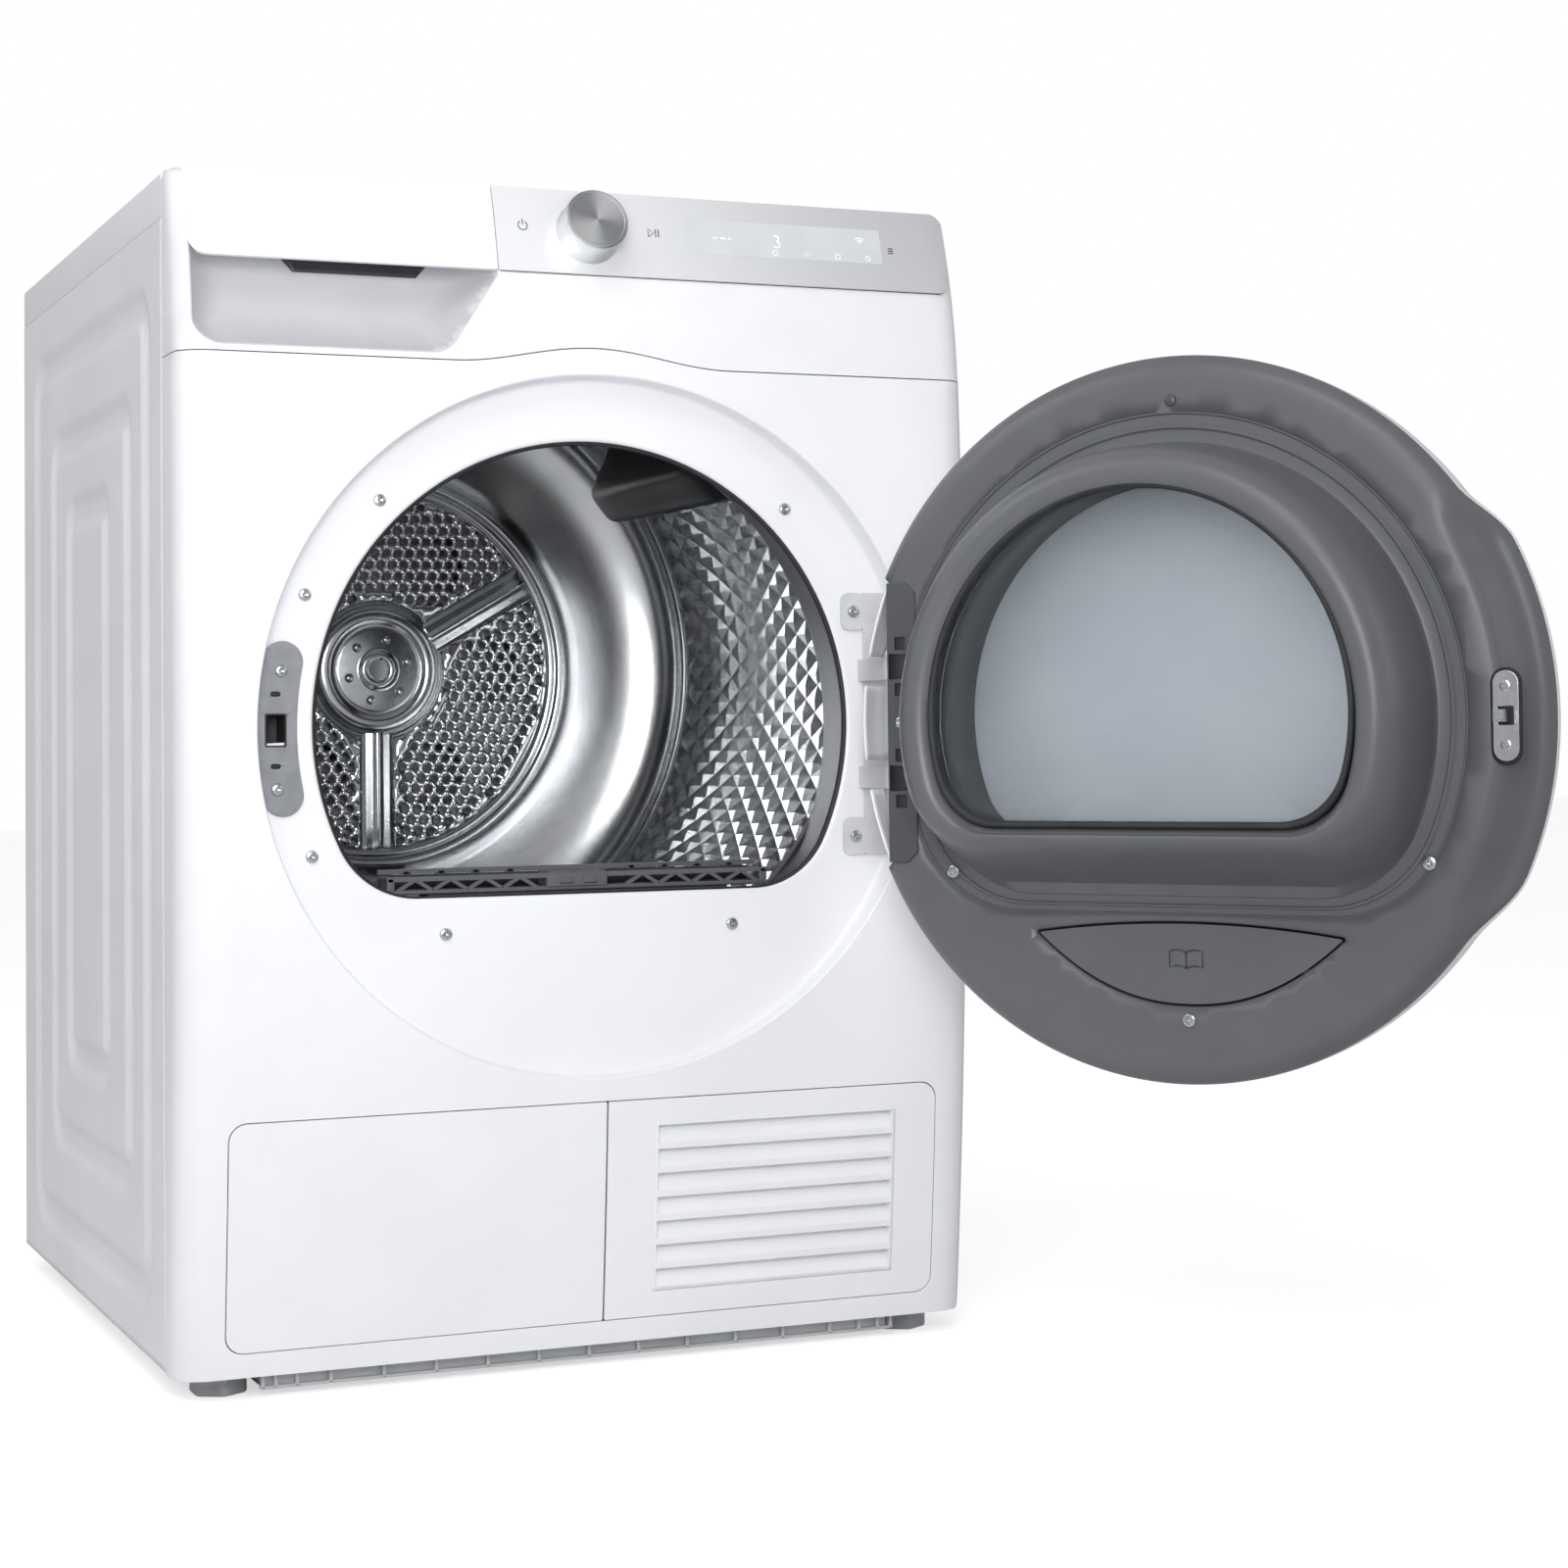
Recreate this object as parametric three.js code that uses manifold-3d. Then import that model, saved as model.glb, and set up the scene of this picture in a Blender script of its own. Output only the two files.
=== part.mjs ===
// A freestanding heat-pump clothes dryer with its round door standing open.
// Millimetres. X points right, Y to the back and Z up. The origin is the centre of the base pan's
// underside. The front bulges forward, so it is lofted from sections whose depth follows frontY().
import * as THREE from "three";
import { mergeVertices } from "three/addons/utils/BufferGeometryUtils.js";
import Module from "manifold-3d";

const wasm = await Module();
wasm.setup();

// ---------------------------------------------------------------- driving dimensions
const BODY_WIDTH = 600;
const BODY_DEPTH = 591; // length of a side panel
const TOP_Z = 845; // top of the worktop above the base pan's underside
const SHEET = 1.2; // steel sheet
const MOULDING = 2.5; // wall of a plastic moulding
const CLEARANCE = 0.4; // between parts that meet
const STAND_GAP = 5; // underside of the base pan above the floor

const PAN_NOSE = 21; // how far the base pan reaches in front of the side panels
const PAN_TAIL = 4; // how far it ends short of their rear edge
const PAN_SIDE = 14; // between its wall and the outside of the cabinet
const PAN_WALL = 3;
const PAN_HEIGHT = 25;

const COVER_HEIGHT = 32;
const COVER_OVERHANG = 9; // of the worktop behind the side panels
const CORNER_R = 22; // rounded vertical front corners
const FRONT_BOTTOM_Z = 11;
const SIDE_BOTTOM_Z = 13;
const CONSOLE_HEIGHT = 131;
const BULGE_Z = 445; // height where the front stands furthest forward
const BOTTOM_BULGE = 33.5; // how far the front stands before the side panels, at its bottom,
const MID_BULGE = 61; // at BULGE_Z,
const SPLIT_BULGE = 56; // under the console
const TOP_BULGE = 29; // and at the top of the console
const WAVE_HEIGHT = 12.5; // the line under the console rises over the door
const WAVE_HALF = 105;

const DRUM_SIDE_ROOM = 19; // between the drum and the outside of a side panel
const DRUM_TOP_ROOM = 22; // between the drum and the worktop's underside
const DRUM_SHEET = 1.2;
const DRUM_FRONT_ROOM = 55; // drum's front edge behind the joint line
const DRUM_REAR_ROOM = 58; // drum's back plate before the side panels' rear edge
const DRUM_SHOULDER = 35; // depth of the rounded shoulder behind the drum's wall
const DRUM_BACK_R = 178;
const DRUM_LIP = 18;
const LIFTER_HEIGHT = 51;
const LIFTER_LENGTH = 290;
const LIFTER_START = 118; // of a lifter behind the drum's front edge
const LIFTER_ANGLE = 38; // of the first lifter above the horizontal, degrees

const STUB_ROOM = 6; // between the bulkhead's stub ring and the drum's lip
const OPENING_DROP = 53; // the door opening's centre below the drum's axis
const OPENING_FLAT = 122; // its flat bottom below its centre
const OPENING_FILLET = 62;
const RING_X = 4; // the door's centre to the right of the opening's
const RING_DROP = 2; // and below it
const RING_BAND = 48; // width of the pressed ring around the opening
const RING_FLOOR = 23; // depth of the pressed ring behind the furthest bulge
const DOOR_GAP = 2.5; // between the door's rim and the pressed ring's edge
const DOOR_SUNK = 6; // the rim lies behind the furthest bulge by this
const DOOR_FLARE = 10; // the grip stands out of the round outline
const DOOR_THICK = 62; // from the inner frame's face to the cover's front
const BOWL_DEPTH = 64; // the bowl stands out of the inner frame's face by this
const BOWL_CLEAR = 12; // between the bowl's wall and the opening
const BOWL_RISE = 27; // its underside rises by this towards the nose
const TUNNEL_TAPER = 14; // the window's tunnel widens by this towards the outer pane
const PANE_R = 166;
const DOOR_OPEN_ANGLE = 125.4; // degrees from closed to the pose shown
const HINGE_INSET = 24.5; // hinge axis inside the pressed ring's edge
const HINGE_FORWARD = 34; // hinge axis before the furthest bulge
const HINGE_PIN_R = 3;
const ARM_Z = 40; // centre of each hinge arm above and below the door's centre
const ARM_HEIGHT = 16;

const FILTER_WIDTH = 240;
const FILTER_THICK = 27;
const FILTER_DEPTH = 186;
const FILTER_SET = 20; // the filter's front face behind the pressed ring's floor
const GRILLE_HALF = 146; // half the width of the filter's slatted mouth
const GRILLE_RISE = 17;
const FLAP_LEFT = 33; // outline of the lower panels inside the cabinet's sides
const FLAP_RIGHT = 31.5;
const FLAP_BOTTOM_Z = 27.5;
const FLAP_TOP_Z = 186.5;
const FLAP_SPLIT_X = 7;
const LOUVRES = 7;
const LOUVRE_PITCH = 17.4;
const KNOB_R = 24;
const KNOB_HEIGHT = 25;
const OVERLAY = 2.6; // overlay and fascia stand proud of the console by this
const STRIP_HEIGHT = 64; // of the overlay and the fascia

const MOTOR_X = 170;
const MOTOR_Z = 105;
const MOTOR_R = 52;
const PULLEY_R = 14;
const FAN_R = 78;
const IDLER_R = 16;
const BELT_WIDTH = 12;
const ROLLER_R = 18;
const ROLLER_ANGLE = 65; // of a support roller below the horizontal, degrees
const FOOT_R = 19;
const FOOT_INSET_X = 38;
const FOOT_INSET_Y = 29;

// ---------------------------------------------------------------- places worked out from them
const HALF_W = BODY_WIDTH / 2;
const PAN_LENGTH = BODY_DEPTH + PAN_NOSE - PAN_TAIL;
const JOINT_Y = -PAN_LENGTH / 2 + PAN_NOSE; // front edge of the side panels
const SIDE_REAR_Y = JOINT_Y + BODY_DEPTH;
const COVER_REAR_Y = SIDE_REAR_Y + COVER_OVERHANG;
const SPLIT_Z = TOP_Z - CONSOLE_HEIGHT;
const FACE_Y = JOINT_Y - MID_BULGE; // the furthest bulge
const DRUM_R = HALF_W - DRUM_SIDE_ROOM;
const DRUM_Z = TOP_Z - COVER_HEIGHT - DRUM_TOP_ROOM - DRUM_R;
const DRUM_FRONT_Y = JOINT_Y + DRUM_FRONT_ROOM;
const DRUM_BACK_Y = SIDE_REAR_Y - DRUM_REAR_ROOM;
const STUB_R = DRUM_R - DRUM_LIP - STUB_ROOM;
const OPENING_R = STUB_R - OPENING_DROP - 0.5;
const OPENING_Z = DRUM_Z - OPENING_DROP;
const OPENING_BOTTOM_Z = OPENING_Z - OPENING_FLAT;
const RING_R = OPENING_R + RING_BAND;
const DOOR_R = RING_R - DOOR_GAP;
const DOOR_Z = OPENING_Z - RING_DROP;
const FLOOR_Y = FACE_Y + RING_FLOOR; // front face of the pressed ring's floor
const RIM_Y = FACE_Y + DOOR_SUNK; // the widest section of the closed door
const FRAME_Y = FLOOR_Y - 5; // face of the door's inner frame when closed
const COVER_BACK_Y = RIM_Y - 2.4; // rear edge of the door's cover when closed
const COVER_FRONT_Y = FRAME_Y - DOOR_THICK;
const NOSE_Y = FRAME_Y + BOWL_DEPTH; // the bowl's furthest point when closed
const HINGE_X = RING_X + RING_R - HINGE_INSET;
const HINGE_Y = FACE_Y - HINGE_FORWARD;
const STUB_END_Y = DRUM_FRONT_Y + 16;
const FILTER_FRONT_Y = FLOOR_Y + FILTER_SET;
const STRIP_Z = TOP_Z - STRIP_HEIGHT;

const radians = THREE.MathUtils.degToRad;
const GROUP = new THREE.Group();
GROUP.name = "clothes_dryer";

// ---------------------------------------------------------------- solids
function solid(geometry) {
  const bare = new THREE.BufferGeometry();
  bare.setAttribute("position", geometry.getAttribute("position").clone());
  if (geometry.index) bare.setIndex(geometry.index);
  const merged = mergeVertices(bare, 1e-4);
  const vertProperties = new Float32Array(merged.attributes.position.array);
  const triVerts = new Uint32Array(merged.index.array);
  const build = () => new wasm.Manifold(new wasm.Mesh({ numProp: 3, vertProperties, triVerts }));
  const made = build();
  if (made.volume() >= 0) return made;
  for (let i = 0; i < triVerts.length; i += 3) {
    [triVerts[i + 1], triVerts[i + 2]] = [triVerts[i + 2], triVerts[i + 1]];
  }
  return build();
}

const join = (...parts) => parts.reduce((a, b) => a.add(b));
const cut = (body, ...tools) => tools.reduce((a, b) => a.subtract(b), body);
const both = (a, b) => a.intersect(b);

// A box between two corners.
function box(x0, x1, y0, y1, z0, z1) {
  const g = new THREE.BoxGeometry(x1 - x0, y1 - y0, z1 - z0);
  g.translate((x0 + x1) / 2, (y0 + y1) / 2, (z0 + z1) / 2);
  return solid(g);
}

// Turns local (u, v, w) into (x, y, z): a "z" prism keeps them, "y" is (u, w, v), "x" is (w, u, v).
const BASES = {
  z: new THREE.Matrix4(),
  y: new THREE.Matrix4().set(1, 0, 0, 0, 0, 0, 1, 0, 0, 1, 0, 0, 0, 0, 0, 1),
  x: new THREE.Matrix4().set(0, 0, 1, 0, 1, 0, 0, 0, 0, 1, 0, 0, 0, 0, 0, 1),
};

// An outline of [u, v] points carried along an axis from one place to another.
function prism(outline, from, to, axis) {
  const shape = new THREE.Shape(outline.map(([u, v]) => new THREE.Vector2(u, v)));
  const g = new THREE.ExtrudeGeometry(shape, { depth: to - from, bevelEnabled: false });
  g.translate(0, 0, from);
  return solid(g.applyMatrix4(BASES[axis]));
}

// A profile of [radius, height] points turned about an axis through (u, v).
function turned(profile, u, v, axis, segments = 28) {
  const points = profile.map(([r, h]) => new THREE.Vector2(r, h));
  const onAxis = profile[0][0] === 0 && profile[profile.length - 1][0] === 0;
  if (!onAxis) points.push(points[0].clone());
  const g = new THREE.LatheGeometry(points, segments);
  if (axis === "z") g.rotateX(Math.PI / 2).translate(u, v, 0);
  else if (axis === "x") g.rotateZ(-Math.PI / 2).translate(0, u, v);
  else g.translate(u, 0, v);
  return solid(g);
}

// A round bar, or with an inner radius a tube, about an axis through (u, v).
function bar(r, from, to, u, v, axis, segments = 20, inner = 0) {
  if (!inner) {
    return turned([[0, from], [r, from], [r, to], [0, to]], u, v, axis, segments);
  }
  return turned([[inner, from], [r, from], [r, to], [inner, to]], u, v, axis, segments);
}

// A closed body through equal-sized outlines [{outline, at}], in the prism's local axes.
function loft(sections, axis) {
  const n = sections[0].outline.length;
  const position = sections.flatMap(({ outline, at }) => outline.flatMap(([u, v]) => [u, v, at]));
  const index = [];
  for (let s = 0; s + 1 < sections.length; s++) {
    for (let i = 0; i < n; i++) {
      const a = s * n + i;
      const b = s * n + ((i + 1) % n);
      index.push(a, b, b + n, a, b + n, a + n);
    }
  }
  const cap = (s) => {
    const contour = sections[s].outline.map(([u, v]) => new THREE.Vector2(u, v));
    const up = THREE.ShapeUtils.area(contour) > 0;
    return THREE.ShapeUtils.triangulateShape(contour, []).map((t) => {
      const [p, q, r] = t.map((i) => contour[i]);
      const ccw = (q.x - p.x) * (r.y - p.y) - (q.y - p.y) * (r.x - p.x) > 0;
      return (ccw === up ? t : [t[0], t[2], t[1]]).map((i) => i + s * n);
    });
  };
  cap(0).forEach(([a, b, c]) => index.push(a, c, b));
  cap(sections.length - 1).forEach(([a, b, c]) => index.push(a, b, c));
  const g = new THREE.BufferGeometry();
  g.setAttribute("position", new THREE.Float32BufferAttribute(position, 3));
  g.setIndex(index);
  return solid(g.applyMatrix4(BASES[axis]));
}

// ---------------------------------------------------------------- outlines
function arc(cx, cy, r, from, to, steps) {
  return Array.from({ length: steps + 1 }, (_, i) => {
    const a = radians(from + ((to - from) * i) / steps);
    return [cx + r * Math.cos(a), cy + r * Math.sin(a)];
  });
}

function roundedRect(u0, u1, v0, v1, r, steps = 4) {
  return [
    ...arc(u1 - r, v0 + r, r, -90, 0, steps),
    ...arc(u1 - r, v1 - r, r, 0, 90, steps),
    ...arc(u0 + r, v1 - r, r, 90, 180, steps),
    ...arc(u0 + r, v0 + r, r, 180, 270, steps),
  ];
}

// A circle whose bottom is cut flat below its centre, with rounded corners.
function dOutline(cu, cv, r, flat, fillet, steps = 20) {
  const rise = fillet - flat;
  const run = Math.sqrt((r - fillet) ** 2 - rise ** 2);
  const turn = THREE.MathUtils.radToDeg(Math.atan2(rise, run));
  const cornerSteps = 4;
  return [
    ...arc(cu, cv, r, turn, 180 - turn, steps),
    ...arc(cu - run, cv + rise, fillet, 180 - turn, 270, cornerSteps).slice(1),
    ...arc(cu + run, cv + rise, fillet, -90, turn, cornerSteps).slice(0, -1),
  ];
}

// The convex outline around several circles [u, v, r].
function hull(circles, steps = 48) {
  const points = circles.flatMap(([u, v, r]) => arc(u, v, r, 0, 360 - 360 / steps, steps - 1));
  points.sort((a, b) => a[0] - b[0] || a[1] - b[1]);
  const side = (list) => {
    const kept = [];
    for (const p of list) {
      while (kept.length > 1) {
        const [a, b] = kept.slice(-2);
        if ((b[0] - a[0]) * (p[1] - a[1]) - (b[1] - a[1]) * (p[0] - a[0]) > 0) break;
        kept.pop();
      }
      kept.push(p);
    }
    return kept.slice(0, -1);
  };
  return [...side(points), ...side([...points].reverse())];
}

// ---------------------------------------------------------------- the bulging front
// Depth of the front at height z: a parabola through the bottom, the furthest bulge and the split,
// carried on into the console with the same slope up to its own top.
function frontY(z) {
  const low = (MID_BULGE - BOTTOM_BULGE) / (BULGE_Z - FRONT_BOTTOM_Z);
  const high = (SPLIT_BULGE - MID_BULGE) / (SPLIT_Z - BULGE_Z);
  const bend = (high - low) / (SPLIT_Z - FRONT_BOTTOM_Z);
  if (z <= SPLIT_Z) {
    const rise = z - FRONT_BOTTOM_Z;
    return JOINT_Y - BOTTOM_BULGE - rise * (low + bend * (z - BULGE_Z));
  }
  const slope = low + bend * (2 * SPLIT_Z - BULGE_Z - FRONT_BOTTOM_Z);
  const up = z - SPLIT_Z;
  const lean = (SPLIT_BULGE - TOP_BULGE + slope * CONSOLE_HEIGHT) / CONSOLE_HEIGHT ** 2;
  return JOINT_Y - SPLIT_BULGE - slope * up + lean * up * up;
}

// The block behind the front's surface between two heights, shrunk by inset, back to backY.
function frontBlock(z0, z1, inset, backY) {
  const w = HALF_W - inset;
  const r = CORNER_R - inset;
  const levels = Math.max(3, Math.round((z1 - z0) / 60));
  const sections = Array.from({ length: levels + 1 }, (_, i) => {
    const at = z0 + ((z1 - z0) * i) / levels;
    const y = frontY(at) + inset;
    const corner = y + r;
    const left = arc(-w + r, corner, r, 180, 270, 5);
    const right = arc(w - r, corner, r, 270, 360, 5);
    return { outline: [[-w, backY], ...left, ...right, [w, backY]], at };
  });
  return loft(sections, "z");
}

// A curved slice of the front between two insets, cut to an outline of [x, z] points.
function frontSkin(outline, outer, inner) {
  const zs = outline.map((p) => p[1]);
  const z0 = Math.min(...zs) - 3;
  const z1 = Math.min(Math.max(...zs) + 3, TOP_Z);
  const skin = cut(
    frontBlock(z0, z1, outer, JOINT_Y - CLEARANCE),
    frontBlock(z0 - 1, z1 + 1, inner, JOINT_Y + 1),
  );
  return both(skin, prism(outline, FACE_Y - 20, JOINT_Y, "y"));
}

// Height of the wavy line where the console meets the front panel.
function splitZ(x) {
  const t = Math.min(1, Math.abs(x) / WAVE_HALF);
  return SPLIT_Z + WAVE_HEIGHT * Math.cos((t * Math.PI) / 2) ** 2;
}

// The space above or below the wavy line.
function splitSpace(above) {
  const edge = above ? CLEARANCE : -CLEARANCE;
  const xs = Array.from({ length: 17 }, (_, i) => -WAVE_HALF + (i * WAVE_HALF) / 8);
  const line = [-HALF_W - 9, ...xs, HALF_W + 9].map((x) => [x, splitZ(x) + edge]);
  const far = above ? TOP_Z + 9 : -9;
  return prism([...line, [HALF_W + 9, far], [-HALF_W - 9, far]], FACE_Y - 20, JOINT_Y + 9, "y");
}

// ---------------------------------------------------------------- nodes
const finish = (color, roughness, metalness = 0) => ({ color, roughness, metalness });
const FINISHES = {
  white: finish(0xe9ebee, 0.35),
  fascia: finish(0xeff1f5, 0.3),
  silver: finish(0xd7d9dd, 0.35, 0.5),
  recess: finish(0xaeafb3, 0.45),
  graphite: finish(0x66686c, 0.5),
  dark: finish(0x3a3b3f, 0.55),
  steel: finish(0xb4b6b9, 0.25, 1),
  zinc: finish(0x9fa3a6, 0.4, 0.9),
  rubber: finish(0x2a2b2d, 0.8),
  glass: finish(0xb8bcc6, 0.1),
  grey: finish(0x8a8c90, 0.6),
  copper: finish(0xb87349, 0.35, 0.9),
};

function node(name, body, look, parent = GROUP, origin = [0, 0, 0]) {
  const data = body.getMesh();
  const g = new THREE.BufferGeometry();
  g.setAttribute("position", new THREE.BufferAttribute(new Float32Array(data.vertProperties), 3));
  g.setIndex(new THREE.BufferAttribute(new Uint32Array(data.triVerts), 1));
  g.translate(-origin[0], -origin[1], -origin[2]);
  g.computeVertexNormals();
  const mesh = new THREE.Mesh(g, new THREE.MeshStandardMaterial(FINISHES[look]));
  mesh.name = name;
  parent.add(mesh);
}

const openingOutline = (grow = 0) =>
  dOutline(0, OPENING_Z, OPENING_R + grow, OPENING_FLAT + grow, OPENING_FILLET + grow);

// ---------------------------------------------------------------- base and cabinet
function footPlaces() {
  const x = HALF_W - FOOT_INSET_X;
  const front = -PAN_LENGTH / 2 + FOOT_INSET_Y;
  const rear = PAN_LENGTH / 2 - FOOT_INSET_Y - 5;
  return { front_left: [-x, front], front_right: [x, front], rear_left: [-x, rear], rear_right: [x, rear] };
}

// An open tray whose corners are raised over the feet.
function basePan() {
  const w = HALF_W - PAN_SIDE;
  const l = PAN_LENGTH / 2;
  const raised = 10;
  const room = FOOT_R + 6;
  let pan = cut(
    box(-w, w, -l, l, 0, PAN_HEIGHT),
    box(-w + PAN_WALL, w - PAN_WALL, -l + PAN_WALL, l - PAN_WALL, PAN_WALL, PAN_HEIGHT + 1),
  );
  for (const [x, y] of Object.values(footPlaces())) {
    const sx = Math.sign(x);
    const sy = Math.sign(y);
    const spanX = (inner, outer) => [sx * inner, sx * outer].sort((a, b) => a - b);
    const spanY = (inner, outer) => [sy * inner, sy * outer].sort((a, b) => a - b);
    const inX = Math.abs(x) - room;
    const inY = Math.abs(y) - room;
    const pad = box(...spanX(inX - PAN_WALL, w), ...spanY(inY - PAN_WALL, l), 0, raised + PAN_WALL);
    const notch = box(...spanX(inX, w + 1), ...spanY(inY, l + 1), -1, raised);
    const boss = bar(9, raised, 32, x, y, "z", 16);
    pan = cut(join(cut(join(pan, pad), notch), boss), bar(5.6, -1, 40, x, y, "z", 16));
  }
  return pan;
}

// A levelling foot: a broad sole, a hexagon for the spanner and a threaded stud.
function foot([x, y]) {
  const sole = turned(
    [[0, -STAND_GAP], [FOOT_R - 1, -STAND_GAP], [FOOT_R, -STAND_GAP + 1.5], [FOOT_R, 3], [0, 3]],
    x, y, "z", 24,
  );
  const hexagon = bar(10, 3, 9.4, x, y, "z", 6);
  return join(sole, hexagon, bar(5, 9.4, 45, x, y, "z", 16));
}

// The nested steps pressed into a side panel: inset from the panel's edges, and depth.
const PRESSINGS = [
  { front: 42, rear: 53, bottom: 29, top: 37, r: 46, depth: 3 },
  { front: 110, rear: 136, bottom: 100, top: 107, r: 38, depth: 5.5 },
  { front: 197, rear: 207, bottom: 170, top: 167, r: 32, depth: 8 },
];

function sidePanel(side) {
  const z1 = TOP_Z - COVER_HEIGHT - CLEARANCE;
  const y0 = JOINT_Y + CLEARANCE;
  const across = (a, b) => [side * (HALF_W - a), side * (HALF_W - b)].sort((p, q) => p - q);
  const slab = (outline, a, b) => prism(outline, ...across(a, b), "x");
  const outlineOf = (p, grow) =>
    roundedRect(
      JOINT_Y + p.front - grow, SIDE_REAR_Y - p.rear + grow,
      SIDE_BOTTOM_Z + p.bottom - grow, TOP_Z - COVER_HEIGHT - p.top + grow, p.r + grow, 3,
    );
  const flange = 12;
  let panel = join(
    box(...across(0, SHEET), y0, SIDE_REAR_Y, SIDE_BOTTOM_Z, z1),
    box(...across(0, flange), y0, y0 + SHEET, SIDE_BOTTOM_Z, z1),
  );
  for (const p of PRESSINGS) panel = join(panel, slab(outlineOf(p, SHEET), 0, p.depth + SHEET));
  return cut(panel, ...PRESSINGS.map((p) => slab(outlineOf(p, 0), -1, p.depth)));
}

function rearPanel() {
  const y = SIDE_REAR_Y - 3;
  const x = HALF_W - SHEET - 1;
  const z1 = TOP_Z - COVER_HEIGHT - CLEARANCE;
  let sheet = box(-x, x, y, y + SHEET, SIDE_BOTTOM_Z, z1);
  sheet = cut(sheet, bar(DRUM_BACK_R + 12, y - 1, y + 3, 0, DRUM_Z, "y", 48));
  for (let i = 0; i < 6; i++) {
    const z = 60 + 14 * i;
    sheet = cut(sheet, prism(roundedRect(-230, -110, z, z + 6, 2.9, 2), y - 1, y + 3, "y"));
  }
  return sheet;
}

// A shallow round pan that closes the air duct behind the drum.
function rearDuctCover() {
  const y = SIDE_REAR_Y - 3 + SHEET + CLEARANCE;
  const r = DRUM_BACK_R + 30;
  const back = COVER_REAR_Y - 1;
  return turned(
    [
      [0, back - SHEET], [r - 21, back - SHEET], [r - 15, y], [r, y],
      [r, y + SHEET], [r - 14, y + SHEET], [r - 20, back], [0, back],
    ],
    0, DRUM_Z, "y", 40,
  );
}

function topCover() {
  const wall = 3;
  const z0 = TOP_Z - COVER_HEIGHT;
  const y0 = JOINT_Y + CLEARANCE;
  const lid = box(-HALF_W, HALF_W, y0, COVER_REAR_Y, z0, TOP_Z);
  const inside = box(-HALF_W + wall, HALF_W - wall, y0 + wall, COVER_REAR_Y - wall, z0 - 1, TOP_Z - 4);
  return cut(lid, inside);
}

function mainsInlet() {
  const y = SIDE_REAR_Y - 3 + SHEET + CLEARANCE;
  const z = TOP_Z - COVER_HEIGHT - 60;
  const body = prism(roundedRect(-268, -232, z - 14, z + 14, 6, 3), y, y + 8, "y");
  return cut(body, bar(6, y - 1, y + 9, -250, z, "y", 16));
}

// ---------------------------------------------------------------- front
const lowerOutline = (grow, x0, x1) =>
  roundedRect(x0 - grow, x1 + grow, FLAP_BOTTOM_Z - grow, FLAP_TOP_Z + grow, 13, 4);

function frontPanel() {
  const top = splitZ(0) + 6;
  const block = frontBlock(FRONT_BOTTOM_Z, top, 0, JOINT_Y - CLEARANCE);
  const shell = cut(block, frontBlock(FRONT_BOTTOM_Z - 1, top + 1, SHEET, JOINT_Y + 1));
  const cup = (r, y) => bar(r, FACE_Y - 30, y, RING_X, DOOR_Z, "y", 48);
  const pressed = cut(both(block, cup(RING_R + SHEET, FLOOR_Y + SHEET)), cup(RING_R, FLOOR_Y));
  const socket = latchSocket(1);
  const panel = join(cut(shell, cup(RING_R + SHEET / 2, FLOOR_Y)), pressed);
  return cut(
    both(panel, splitSpace(false)),
    prism(openingOutline(), FACE_Y - 30, JOINT_Y, "y"),
    prism(lowerOutline(0, -HALF_W + FLAP_LEFT, HALF_W - FLAP_RIGHT), FACE_Y - 30, JOINT_Y, "y"),
    prism(socket, FACE_Y - 30, JOINT_Y, "y"),
  );
}

function accessFlap() {
  const outline = lowerOutline(-CLEARANCE * 1.5, -HALF_W + FLAP_LEFT, FLAP_SPLIT_X);
  return frontSkin(outline, 0, MOULDING);
}

function louvreGrille() {
  const x0 = FLAP_SPLIT_X;
  const x1 = HALF_W - FLAP_RIGHT;
  let grille = frontSkin(lowerOutline(-CLEARANCE * 1.5, x0, x1), 0, MOULDING);
  for (let i = 0; i < LOUVRES; i++) {
    const z = FLAP_BOTTOM_Z + 26 + LOUVRE_PITCH * i;
    const slot = roundedRect(x0 + 40, x1 - 36, z, z + 7, 2, 2);
    grille = cut(grille, prism(slot, FACE_Y - 30, JOINT_Y, "y"));
  }
  return grille;
}

// ---------------------------------------------------------------- console and water tank
const FASCIA = { x0: -HALF_W + 10, x1: -70.5 };
const OVERLAY_X1 = HALF_W - 12;

const fasciaOutline = (grow) => [
  [FASCIA.x0 - grow, STRIP_Z - grow],
  [FASCIA.x1 + grow, STRIP_Z - grow],
  [FASCIA.x1 + grow, TOP_Z + 1],
  [FASCIA.x0 - grow, TOP_Z + 1],
];

// The hand recess under the fascia, slanting up to the overlay at its right end.
const recessOutline = (grow) => {
  const bottom = SPLIT_Z + 5 - grow;
  return [
    [FASCIA.x0 - grow, STRIP_Z + 1],
    ...arc(FASCIA.x0 + 20, bottom + 20 + grow, 20 + grow, 180, 270, 4),
    ...arc(-121, bottom + 22 + grow, 22 + grow, 270, 322, 3),
    [FASCIA.x1 + grow, STRIP_Z - 4],
    [FASCIA.x1 + grow, STRIP_Z + 1],
  ];
};

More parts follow.
